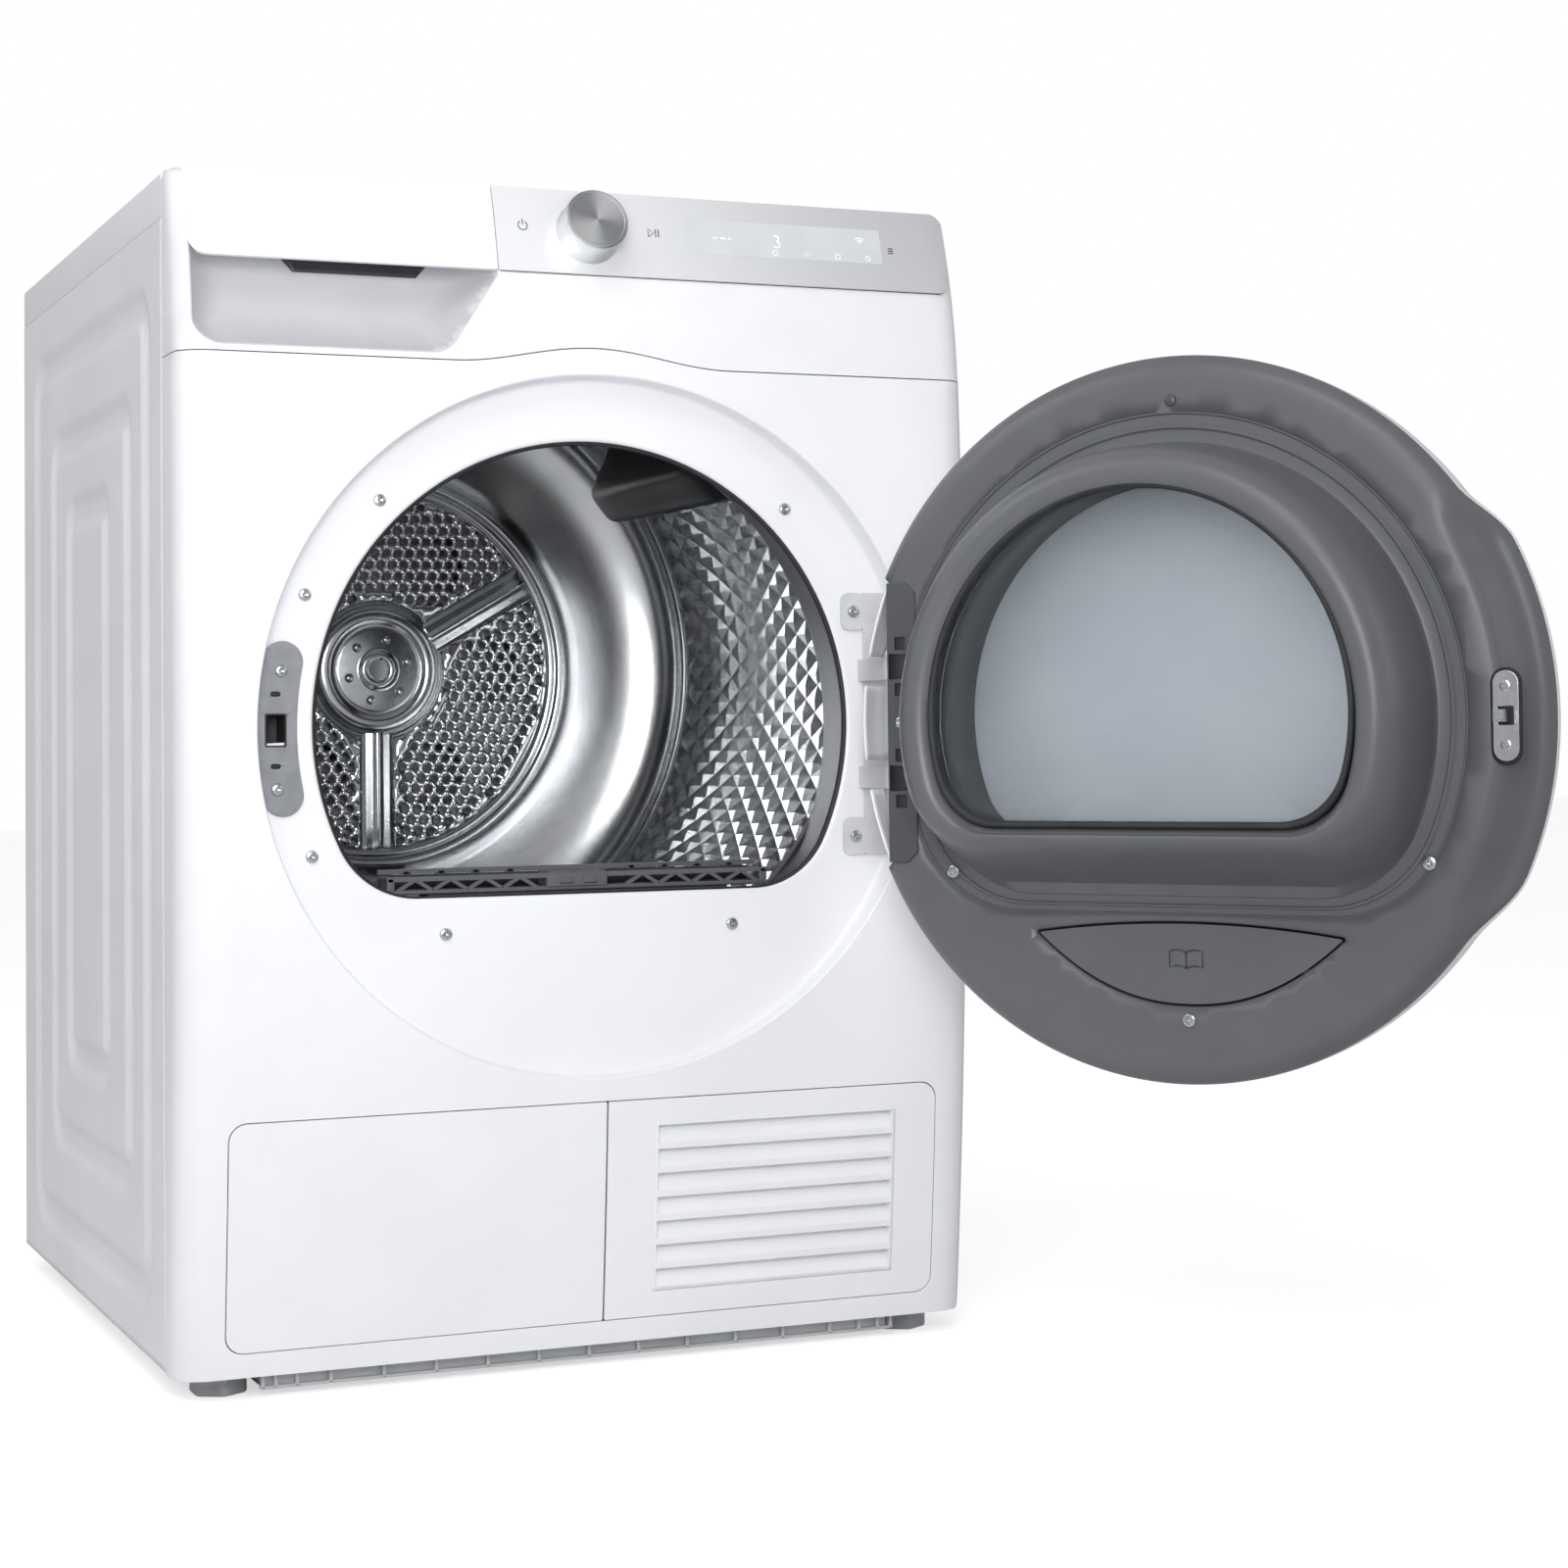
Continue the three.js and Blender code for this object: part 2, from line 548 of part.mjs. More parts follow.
function tankDrawerFront() {
  const back = JOINT_Y - 9;
  const z0 = SPLIT_Z;
  const block = (outset) => frontBlock(z0, TOP_Z - CLEARANCE, -outset, JOINT_Y + 5);
  const at = (outline, y1 = back + 1) => prism(outline, FACE_Y - 30, y1, "y");
  const whole = join(
    both(block(OVERLAY), at(fasciaOutline(0))),
    both(block(0), at(recessOutline(0))),
  );
  const hand = both(
    at(join2(recessOutline(-MOULDING), 16), back - MOULDING),
    box(-HALF_W, HALF_W, FACE_Y - 30, back - MOULDING, z0, STRIP_Z + 16),
  );
  const slab = cut(
    both(block(OVERLAY), at(fasciaOutline(0))),
    frontBlock(z0 - 1, TOP_Z, 1.4, JOINT_Y + 6),
  );
  const rear = box(FASCIA.x0 + 6, FASCIA.x1 - 4, back - 15, back + 1, STRIP_Z + 22, TOP_Z - 4);
  return cut(whole, cut(hand, slab), rear);
}

// Raises the top edge of the recess outline so that the hand space runs on behind the fascia.
function join2(outline, rise) {
  return outline.map(([x, z]) => (z > STRIP_Z ? [x, z + rise] : [x, z]));
}

function knobAxis() {
  const z = (STRIP_Z + TOP_Z) / 2 - 2;
  const slope = (frontY(z + 1) - frontY(z - 1)) / 2;
  const tilt = Math.atan(slope);
  return { z, tilt, y: frontY(z) - OVERLAY * Math.cos(tilt), lift: OVERLAY * Math.sin(tilt) };
}

function spindleHole(r) {
  const k = knobAxis();
  const g = new THREE.CylinderGeometry(r, r, 60, 16);
  g.rotateX(-k.tilt).translate(0, k.y, k.z + k.lift);
  return solid(g);
}

function consolePanel() {
  const z0 = SPLIT_Z - 8;
  const shell = cut(
    frontBlock(z0, TOP_Z, 0, JOINT_Y - CLEARANCE),
    frontBlock(z0 - 1, TOP_Z - MOULDING, MOULDING, JOINT_Y + 1),
  );
  const reach = [FACE_Y - 30, JOINT_Y + 2, "y"];
  return cut(
    both(shell, splitSpace(true)),
    prism(fasciaOutline(CLEARANCE), ...reach),
    prism(recessOutline(CLEARANCE), ...reach),
    spindleHole(6),
  );
}

const displayOutline = (grow) => {
  const z = STRIP_Z + 20;
  return [[76 - grow, z - grow], [235 + grow, z - grow], [235 + grow, z + 27 + grow], [76 - grow, z + 27 + grow]];
};

function consoleOverlay() {
  const r = 9;
  const outline = [
    [FASCIA.x1 + 2 * CLEARANCE, STRIP_Z],
    ...arc(OVERLAY_X1 - r, STRIP_Z + r, r, -90, 0, 4),
    ...arc(OVERLAY_X1 - r, TOP_Z - 1 - r, r, 0, 90, 4),
    [FASCIA.x1 + 2 * CLEARANCE, TOP_Z - 1],
  ];
  const skin = frontSkin(outline, -OVERLAY, -CLEARANCE);
  return cut(skin, prism(displayOutline(CLEARANCE), FACE_Y - 30, JOINT_Y, "y"), spindleHole(6));
}

const displayWindow = () => frontSkin(displayOutline(0), -OVERLAY, -CLEARANCE);

// The tank fills the corner over the drum's left shoulder, above the line under the console.
function tankOutline(grow) {
  const clear = 12;
  const low = SPLIT_Z + 9 - grow;
  const [x0, x1] = [-HALF_W + 23 - grow, -112 + grow];
  const floor = (x) => Math.max(low, DRUM_Z + Math.sqrt((DRUM_R + clear) ** 2 - x * x) - grow);
  const top = TOP_Z - COVER_HEIGHT - 6;
  const foot = [-204, -180, -146, -112].map((x) => [x === -112 ? x1 : x, floor(x)]);
  return [[x1, top], [x0, top], [x0, low], ...foot];
}

function waterTank() {
  const y0 = JOINT_Y - 8;
  const y1 = y0 + 505;
  const body = prism(tankOutline(-1.5), y0, y1, "y");
  const inside = prism(tankOutline(-4), y0 + MOULDING, y1 - MOULDING, "y");
  const top = box(-HALF_W, 0, y0 - 1, y1 + 1, TOP_Z - COVER_HEIGHT - 6 - MOULDING, TOP_Z);
  const mouth = bar(22, TOP_Z - COVER_HEIGHT - 20, TOP_Z, -200, y1 - 60, "z", 24);
  return cut(body, cut(inside, top), mouth);
}

function tankHousing() {
  const y0 = JOINT_Y + 4;
  const y1 = y0 + 500;
  const trough = cut(
    prism(tankOutline(1.5), y0, y1, "y"),
    prism(tankOutline(0), y0 - 1, y1 + 1, "y"),
  );
  const open = box(-HALF_W, 0, y0 - 1, y1 + 1, TOP_Z - COVER_HEIGHT - 7, TOP_Z);
  const side = box(-116, 0, y0 - 1, y1 + 1, DRUM_Z, TOP_Z);
  return cut(trough, open, side);
}

function dialKnob(parent) {
  const k = knobAxis();
  const profile = [
    [0, -KNOB_HEIGHT], [KNOB_R - 1.5, -KNOB_HEIGHT], [KNOB_R, -KNOB_HEIGHT + 1.5],
    [KNOB_R, -1], [4, -1], [4, 14], [0, 14],
  ];
  const tilted = new THREE.Group();
  tilted.position.set(0, k.y, k.z + k.lift);
  tilted.rotation.x = -k.tilt;
  parent.add(tilted);
  node("dial_knob", turned(profile, 0, 0, "y", 40), "silver", tilted);
}

function controlBoard() {
  const y = JOINT_Y - 24;
  const box1 = box(-40, 250, y, y + 10, STRIP_Z + 6, STRIP_Z + 48);
  return cut(box1, box(-38, 248, y + 2, y + 11, STRIP_Z + 8, STRIP_Z + 46), spindleHole(6));
}

// ---------------------------------------------------------------- bulkhead, seal and filter
const tunnelOutline = (y, grow) => {
  const t = (y - FLOOR_Y) / (STUB_END_Y - FLOOR_Y);
  const r = OPENING_R + 1 + 28 * t + grow;
  return dOutline(0, OPENING_Z, r, OPENING_FLAT + 1 + 3 * t + grow, OPENING_FILLET + 8 * t + grow);
};

function tunnel(y0, y1, grow) {
  const sections = [y0, y1].map((at) => ({ outline: tunnelOutline(at, grow), at }));
  return both(loft(sections, "y"), bar(STUB_R - 3 + Math.min(grow, 0), y0, y1, 0, DRUM_Z, "y", 48));
}

function rollerPlace(side) {
  const r = DRUM_R + ROLLER_R + 0.6;
  return [side * r * Math.cos(radians(ROLLER_ANGLE)), DRUM_Z - r * Math.sin(radians(ROLLER_ANGLE))];
}

function frontBulkhead() {
  const y0 = FLOOR_Y + SHEET + CLEARANCE + 4;
  const flange = bar(DRUM_R + 7, y0, y0 + 4, 0, DRUM_Z, "y", 48);
  const stub = bar(STUB_R, y0, STUB_END_Y, 0, DRUM_Z, "y", 48);
  const hollow = cut(
    bar(STUB_R - 3, y0 - 1, STUB_END_Y - 3, 0, DRUM_Z, "y", 48),
    tunnel(y0 - 2, STUB_END_Y + 1, 3),
  );
  let bulkhead = cut(join(flange, stub), hollow, tunnel(y0 - 2, STUB_END_Y + 1, 0));
  for (const side of [-1, 1]) {
    const [x, z] = rollerPlace(side);
    const bracket = box(x - 16, x + 16, y0, y0 + 4, z - 16, DRUM_Z - DRUM_R + 40);
    bulkhead = join(bulkhead, bracket, bar(5, y0 + 4, DRUM_FRONT_Y + 34, x, z, "y", 16));
  }
  const slot = box(
    -FILTER_WIDTH / 2 - 2, FILTER_WIDTH / 2 + 2,
    FILTER_FRONT_Y - 2, FILTER_FRONT_Y + FILTER_THICK + 2, 0, OPENING_BOTTOM_Z + 12,
  );
  const mouth = box(
    -GRILLE_HALF - 4, GRILLE_HALF + 4, FILTER_FRONT_Y - 2, FILTER_FRONT_Y + FILTER_THICK + 2,
    OPENING_BOTTOM_Z - 6, OPENING_BOTTOM_Z + 26,
  );
  const drawer = box(-HALF_W, FASCIA.x1 + 4, y0 - 1, JOINT_Y - 6, SPLIT_Z - 2, TOP_Z);
  return cut(bulkhead, slot, mouth, drawer);
}

function doorSeal() {
  const y = FLOOR_Y + SHEET + CLEARANCE;
  return cut(
    prism(openingOutline(4), y, y + 3.4, "y"),
    prism(openingOutline(-2.5), y - 1, y + 5, "y"),
  );
}

// A cassette with mesh windows, carried by a slatted mouth that air falls through.
function lintFilter() {
  const [y0, y1] = [FILTER_FRONT_Y, FILTER_FRONT_Y + FILTER_THICK];
  const z1 = OPENING_BOTTOM_Z + 2;
  const z0 = z1 - FILTER_DEPTH;
  const w = FILTER_WIDTH / 2 - 4;
  let cassette = cut(
    box(-w, w, y0 + 2, y1 - 2, z0, z1),
    box(-w + 3, w - 3, y0 + 5, y1 - 5, z0 + 3, z1 + 1),
  );
  for (const x of [-78, 0, 78]) {
    cassette = cut(cassette, box(x - 30, x + 30, y0 - 1, y1 + 1, z0 + 20, z1 - 40));
  }
  const top = z1 + GRILLE_RISE;
  const side = [[y0, z1], [y1, z1], [y1, top], [y1 - 3, top], [y0, z1 + 6]];
  let mouth = prism(side, -GRILLE_HALF, GRILLE_HALF, "x");
  for (const x of [-112, -76, -44, 44, 76, 112]) {
    mouth = cut(mouth, box(x - 13, x + 13, y0 + 3, y1 + 1, z1 - 1, top - 3));
  }
  return join(cassette, cut(mouth, box(-26, 26, y0 + 3, y1 - 3, z1 - 1, z1 + 9)));
}

function filterHousing() {
  const [y0, y1] = [FILTER_FRONT_Y, FILTER_FRONT_Y + FILTER_THICK];
  const z0 = OPENING_BOTTOM_Z - FILTER_DEPTH - 8;
  const w = FILTER_WIDTH / 2;
  const z1 = DRUM_Z - STUB_R - 4;
  const shell = cut(
    box(-w, w, y0 - 0.5, y1 + 0.5, z0, z1),
    box(-w + 2, w - 2, y0 + 1.2, y1 - 1.2, z0 + 2, z1 + 1),
  );
  return cut(shell, box(-60, 60, y1 - 4, y1 + 4, z0 + 10, z0 + 50));
}

// ---------------------------------------------------------------- drum
// Wall, rolled front lip and a rounded shoulder down to the back plate.
function drumShell() {
  const s = DRUM_SHEET;
  const wallEnd = DRUM_BACK_Y - DRUM_SHOULDER;
  const shoulder = (inset) =>
    Array.from({ length: 6 }, (_, i) => {
      const a = radians(18 * i);
      const reach = DRUM_R - DRUM_BACK_R;
      return [DRUM_BACK_R + (reach - inset) * Math.cos(a), wallEnd + (DRUM_SHOULDER - inset) * Math.sin(a)];
    });
  const outer = [
    [DRUM_R - DRUM_LIP, DRUM_FRONT_Y], [DRUM_R - 4, DRUM_FRONT_Y], [DRUM_R, DRUM_FRONT_Y + 4],
    ...shoulder(0),
  ];
  const inner = [
    [DRUM_R - DRUM_LIP, DRUM_FRONT_Y + s], [DRUM_R - 4.5, DRUM_FRONT_Y + s],
    [DRUM_R - s, DRUM_FRONT_Y + 4.5], ...shoulder(s),
  ];
  return turned([...outer, ...inner.reverse()], 0, DRUM_Z, "y", 44);
}

function drumBack() {
  const y = DRUM_BACK_Y;
  const r = DRUM_BACK_R - 1;
  const hub = 43;
  const plate = turned(
    [[0, y - 6], [hub, y - 6], [hub + 5, y - 1.2], [r, y - 1.2], [r, y], [hub + 3, y], [hub, y - 4.8], [0, y - 4.8]],
    0, DRUM_Z, "y", 48,
  );
  return cut(plate, ...[60, 180, 300].map((a) => {
    const c = [110 * Math.cos(radians(a)), DRUM_Z + 110 * Math.sin(radians(a))];
    return bar(34, y - 9, y + 3, ...c, "y", 20);
  }));
}

function lifter(angle) {
  const base = DRUM_R - DRUM_SHEET - 4.5;
  const ridge = DRUM_R - DRUM_SHEET - LIFTER_HEIGHT;
  const section = [[-42, base], [0, base + 3.2], [42, base], [16, ridge], [-16, ridge]];
  const a = radians(angle - 90);
  const outline = section.map(([t, r]) => [
    t * Math.cos(a) - r * Math.sin(a),
    DRUM_Z + t * Math.sin(a) + r * Math.cos(a),
  ]);
  const y0 = DRUM_FRONT_Y + LIFTER_START;
  return prism(outline, y0, y0 + LIFTER_LENGTH, "y");
}

const drumShaft = () => {
  const y = DRUM_BACK_Y;
  const end = SIDE_REAR_Y - 12;
  return turned([[0, y + 0.4], [38, y + 0.4], [38, y + 4], [12, y + 6], [12, end], [0, end]], 0, DRUM_Z, "y", 24);
};

const REAR_WALL_Y = SIDE_REAR_Y - 40;

const rearBearing = () => bar(27, REAR_WALL_Y - 4, REAR_WALL_Y + 10, 0, DRUM_Z, "y", 24, 12.5);

function rearBulkhead() {
  const w = HALF_W - 12;
  const y = REAR_WALL_Y;
  let wall = box(-w, w, y, y + 3, PAN_HEIGHT + 90, TOP_Z - COVER_HEIGHT - 6);
  wall = cut(wall, bar(27.6, y - 1, y + 4, 0, DRUM_Z, "y", 24));
  for (let a = 0; a < 360; a += 60) {
    const c = [110 * Math.cos(radians(a)), DRUM_Z + 110 * Math.sin(radians(a))];
    wall = cut(wall, bar(32, y - 1, y + 4, ...c, "y", 16));
  }
  return wall;
}

const BELT_Y = DRUM_FRONT_Y + 198;
const IDLER = [MOTOR_X + 46, MOTOR_Z + 58];

function drumBelt() {
  const loop = (grow) =>
    hull([[0, DRUM_Z, DRUM_R + grow], [MOTOR_X, MOTOR_Z, PULLEY_R + grow], [...IDLER, IDLER_R + grow]]);
  return cut(
    prism(loop(2.8), BELT_Y, BELT_Y + BELT_WIDTH, "y"),
    prism(loop(0.8), BELT_Y - 1, BELT_Y + BELT_WIDTH + 1, "y"),
  );
}

function supportRoller(side) {
  const [x, z] = rollerPlace(side);
  return bar(ROLLER_R, DRUM_FRONT_Y + 10, DRUM_FRONT_Y + 30, x, z, "y", 24, 5.4);
}

// ---------------------------------------------------------------- drive, air and heat pump
const SEAT_Z = PAN_WALL + CLEARANCE;

function motor() {
  const [y0, y1] = [BELT_Y + 30, BELT_Y + 170];
  const can = turned([[7, y0], [30, y0], [MOTOR_R, y0 + 14], [MOTOR_R, y1 - 14], [30, y1], [7, y1]],
    MOTOR_X, MOTOR_Z, "y", 28);
  const cradle = box(MOTOR_X - 40, MOTOR_X + 40, y0 + 20, y1 - 20, SEAT_Z, MOTOR_Z - 30);
  return join(can, cradle);
}

function motorRotor() {
  const [y0, y1] = [BELT_Y - 2, BELT_Y + BELT_WIDTH + 2];
  return turned(
    [[0, y0 - 4], [6, y0 - 4], [6, y0], [PULLEY_R, y0], [PULLEY_R, y1], [6, y1], [6, BELT_Y + 232], [0, BELT_Y + 232]],
    MOTOR_X, MOTOR_Z, "y", 24,
  );
}

const FAN_Y = BELT_Y + 196;

function blowerFan() {
  let fan = turned([[6.4, FAN_Y], [18, FAN_Y], [18, FAN_Y + 24], [FAN_R, FAN_Y + 24], [FAN_R, FAN_Y + 26], [6.4, FAN_Y + 26]],
    MOTOR_X, MOTOR_Z, "y", 30);
  for (let i = 0; i < 12; i++) {
    const blade = new THREE.BoxGeometry(38, 24, 2);
    blade.translate(FAN_R - 20, FAN_Y + 12.5, 0).rotateY(radians(30 * i)).translate(MOTOR_X, 0, MOTOR_Z);
    fan = join(fan, solid(blade));
  }
  return fan;
}

function blowerHousing() {
  const r = FAN_R + 12;
  const [y0, y1] = [FAN_Y - 8, FAN_Y + 40];
  const duct = (inset) => box(MOTOR_X + 30 + inset, MOTOR_X + r - inset, y0 + inset, y1 - inset, MOTOR_Z, MOTOR_Z + r + 14 + inset);
  const shell = join(bar(r, y0, y1, MOTOR_X, MOTOR_Z, "y", 36), duct(0));
  const inside = join(bar(r - 3, y0 + 3, y1 - 3, MOTOR_X, MOTOR_Z, "y", 36), duct(3));
  return cut(shell, inside, bar(46, y0 - 1, y0 + 4, MOTOR_X, MOTOR_Z, "y", 24));
}

function idlerArm() {
  const y0 = BELT_Y + BELT_WIDTH + 8;
  const pivot = [IDLER[0] + 14, SEAT_Z + 30];
  const arm = prism(hull([[...IDLER, 9], [...pivot, 10]], 16), y0, y0 + 4, "y");
  return cut(join(arm, bar(4, BELT_Y - 2, y0, ...IDLER, "y", 12)), bar(4.4, y0 - 1, y0 + 5, ...pivot, "y", 12));
}

const idlerPulley = () => bar(IDLER_R, BELT_Y - 1, BELT_Y + BELT_WIDTH + 1, ...IDLER, "y", 24, 4.4);

function compressor() {
  const z1 = Math.min(DRUM_Z - DRUM_R - 58, 172);
  return turned([[0, SEAT_Z], [66, SEAT_Z], [66, z1 - 40], [58, z1 - 18], [34, z1 - 4], [0, z1]], -150, 120, "z", 32);
}

function coilBlock(y0, y1) {
  const top = OPENING_BOTTOM_Z - FILTER_DEPTH - 14;
  let coil = box(-235, -45, y0, y1, PAN_WALL + 12, top);
  for (let x = -222; x < -50; x += 19) coil = cut(coil, box(x, x + 7, y0 - 1, y1 + 1, PAN_WALL + 20, top - 8));
  return coil;
}

const coverOutline = () => roundedRect(-244, -36, 34, 138, 10, 3);

function exchangerCover() {
  const y = JOINT_Y - 15;
  const plate = prism(coverOutline(), y, y + 3, "y");
  return join(plate, prism(roundedRect(-205, -75, 56, 116, 12, 3), y - 5, y, "y"));
}

function coverLever(x) {
  const y = JOINT_Y - 15 - CLEARANCE;
  return join(bar(9, y - 4, y, x, 86, "y", 16), box(x - 4, x + 4, y - 8, y - 3.9, 70, 102));
}

// ---------------------------------------------------------------- door, described closed
// The door's round outline, with a grip that stands out on the side away from the hinge.
function doorOutline(r, flare, steps = 48) {
  return Array.from({ length: steps }, (_, i) => {
    const a = (2 * Math.PI * i) / steps;
    const off = Math.abs(THREE.MathUtils.radToDeg(a) - 180);
    const bump = 1 - THREE.MathUtils.smoothstep(off, 24, 38);
    const reach = r + flare * bump;
    return [RING_X + reach * Math.cos(a), DOOR_Z + reach * Math.sin(a)];
  });
}

// The bowl's section at depth y, shrunk by inset; its underside rises towards the nose.
function bowlSection(y, inset) {
  const rise = (BOWL_RISE * Math.max(0, y - FRAME_Y)) / BOWL_DEPTH;
  const r = OPENING_R - BOWL_CLEAR - RING_X - inset;
  const flat = OPENING_FLAT - RING_DROP - 6 - rise - inset / 2;
  return { outline: dOutline(RING_X, DOOR_Z, r, flat, 60 - inset / 2), at: y };
}

function bowl(inset) {
  return loft([
    bowlSection(FRAME_Y - 6 - 2 * inset, inset),
    bowlSection(NOSE_Y - 22, 3 + inset),
    bowlSection(NOSE_Y - 6, 8 + inset),
    bowlSection(NOSE_Y - inset, 16 + inset),
  ], "y");
}

const WINDOW_R = 151;
const PANE_BACK_Y = COVER_FRONT_Y + 3 + CLEARANCE + 4;

// The tunnel between the window in the bowl and the outer pane, at depth y.
function tunnelSection(y, grow) {
  const taper = (TUNNEL_TAPER * (NOSE_Y - y)) / (NOSE_Y - PANE_BACK_Y);
  const outline = dOutline(RING_X, DOOR_Z + 4, WINDOW_R + taper + grow, 76 + taper + grow, 44 + grow);
  return { outline, at: y };
}

const windowTunnel = (y0, y1, grow) => loft([tunnelSection(y0, grow), tunnelSection(y1, grow)], "y");

function armSlots(y0, y1, room) {
  return [-1, 1].map((s) => {
    const z = DOOR_Z + s * ARM_Z;
    const h = ARM_HEIGHT / 2 + room;
    return box(HINGE_X - 26, RING_X + DOOR_R + 12, y0, y1, z - h, z + h);
  });
}

function doorInnerFrame() {
  const [face, rim] = [FRAME_Y, RIM_Y];
  const back = PANE_BACK_Y + 2;
  const r = DOOR_R;
  const plate = turned(
    [
      [WINDOW_R, face - 4], [r - 22, face - 4], [r - 5, rim - 2], [r - 0.5, rim - 2],
      [r, rim], [r - 3, rim + 7], [r - 12, face - 1], [r - 36, face], [WINDOW_R, face],
    ],
    RING_X, DOOR_Z, "y", 48,
  );
  const wall = windowTunnel(back, face - 5, 3);
  const hollow = cut(bowl(3), windowTunnel(back - 9, NOSE_Y + 1, 3));
  const truncate = box(HINGE_X - 9, HINGE_X + 40, rim - 9, face + 1, DOOR_Z - 103, DOOR_Z + 103);
  return cut(
    join(plate, bowl(0), windowTunnel(face - 6, face + 2, 3), wall),
    hollow,
    windowTunnel(back - 9, NOSE_Y + 2, 0),
    truncate,
    prism(hingeCoverOutline(CLEARANCE), face - 3, face + 1, "y"),
    ...armSlots(rim - 9, face + 1, 10),
  );
}

function hingeCoverOutline(grow) {
  const half = 100 + grow;
  const [left, right] = [HINGE_X - 32 - grow, HINGE_X - 9 - CLEARANCE + grow];
  return [
    [left, DOOR_Z - half + 8], [HINGE_X - 24, DOOR_Z - half], [right, DOOR_Z - half],
    [right, DOOR_Z + half], [HINGE_X - 24, DOOR_Z + half], [left, DOOR_Z + half - 8],
  ];
}

function hingeCover() {
  return cut(
    prism(hingeCoverOutline(0), FRAME_Y - 2.6, FRAME_Y, "y"),
    ...armSlots(FRAME_Y - 9, FRAME_Y + 9, 4).map((s) => s.translate(2, 0, 0)),
  );
}

function doorWindow() {
  const y = NOSE_Y - 16;
  return loft([tunnelSection(y, -1.2), tunnelSection(y + 4, -1.2)], "y");
}

function doorOuterCover() {
  const [y0, y1] = [COVER_BACK_Y, COVER_FRONT_Y];
  const shape = (t) => [
    { outline: doorOutline(DOOR_R - 1 - t, 0), at: y0 + (t ? 2 : 0) },
    { outline: doorOutline(DOOR_R - t, 0), at: FACE_Y - 4 },
    { outline: doorOutline(DOOR_R - t, DOOR_FLARE), at: FACE_Y - 8 },
    { outline: doorOutline(DOOR_R - 3 - t, DOOR_FLARE), at: FACE_Y - 24 },
    { outline: doorOutline(DOOR_R - 6 - t, DOOR_FLARE * 0.7), at: y1 + 4 + t },
    { outline: doorOutline(DOOR_R - 22 - t, 0), at: y1 + t },
  ];
  const mouth = bar(PANE_R - 8, y1 - 5, y0 + 5, RING_X, DOOR_Z, "y", 48);
  const behind = armSlots(y1 + 3.5, y0 + 1, 2);
  const beside = armSlots(y1 - 1, y0 + 1, 2).map((s) => s.translate(22, 0, 0));
  return cut(loft(shape(0), "y"), loft(shape(3), "y"), mouth, ...behind, ...beside);
}

const doorOuterPane = () => {
  const y = PANE_BACK_Y - 4;
  return turned([[0, y - 1], [PANE_R - 10, y], [PANE_R, y], [PANE_R, y + 4], [0, y + 4]], RING_X, DOOR_Z, "y", 48);
};

function hingeLeaf() {
  const half = ARM_Z - ARM_HEIGHT / 2 - 2;
  const [z0, z1] = [DOOR_Z - half, DOOR_Z + half];
  const knuckle = bar(5.5, z0, z1, HINGE_X, HINGE_Y, "z", 16);
  const plate = box(HINGE_X - 42, HINGE_X, HINGE_Y + 2, HINGE_Y + 5, z0, z1);
  return cut(join(knuckle, plate), bar(HINGE_PIN_R + 0.3, z0 - 1, z1 + 1, HINGE_X, HINGE_Y, "z", 16));
}

// The fixed half of the hinge: a plate on the pressed ring with two curved arms.
function hingePlate() {
  const y1 = FLOOR_Y - CLEARANCE;
  const y0 = y1 - 2;
  const x = HINGE_X - 14;
  let plate = box(x, x + 18, y0, y1, DOOR_Z - 98, DOOR_Z + 98);
  for (const s of [-1, 1]) {
    const ear = roundedRect(x - 18, x + 2, DOOR_Z + s * 84 - 14, DOOR_Z + s * 84 + 14, 6, 3);
    const z = DOOR_Z + s * ARM_Z;
    const [z0, z1] = [z - ARM_HEIGHT / 2, z + ARM_HEIGHT / 2];
    const arm = [
      [x - 4, y1], [x + 5, y1], [x + 6, HINGE_Y + 22], [HINGE_X + 4, HINGE_Y + 4],
      [HINGE_X - 4, HINGE_Y - 3], [x - 3, HINGE_Y + 12],
    ];
    const knuckle = bar(5.5, z0, z1, HINGE_X, HINGE_Y, "z", 16);
    plate = join(plate, prism(ear, y0, y1, "y"), prism(arm, z0, z1, "z"), knuckle);
  }
  return cut(plate, bar(HINGE_PIN_R + 0.2, DOOR_Z - 60, DOOR_Z + 60, HINGE_X, HINGE_Y, "z", 16));
}

const hingePin = () => {
  const half = ARM_Z + ARM_HEIGHT / 2 + 3;
  return bar(HINGE_PIN_R, DOOR_Z - half, DOOR_Z + half, HINGE_X, HINGE_Y, "z", 16);
};

// ---------------------------------------------------------------- latch
const LATCH_X = RING_X - RING_R + 17;

const latchSocket = (grow) =>
  roundedRect(LATCH_X - 9 - grow, LATCH_X + 9 + grow, DOOR_Z - 14 - grow, DOOR_Z + 12 + grow, 1.5, 2);

// A curved plate on the pressed ring with the socket that takes the hook.
function lockPlate() {
  const [y0, y1] = [FLOOR_Y - CLEARANCE - 1.6, FLOOR_Y - CLEARANCE];
  const outline = [
    ...arc(RING_X, DOOR_Z, RING_R - 3, 167, 193, 8),
    ...arc(RING_X, DOOR_Z, RING_R - 32, 193, 167, 8),
  ];
  const plate = prism(outline, y0, y1, "y");
  const cup = prism(latchSocket(0), y1 - 0.5, FLOOR_Y + 26, "y");
  const hole = prism(latchSocket(-2.5), y0 - 1, FLOOR_Y + 23, "y");
  return cut(join(plate, cup), hole);
}

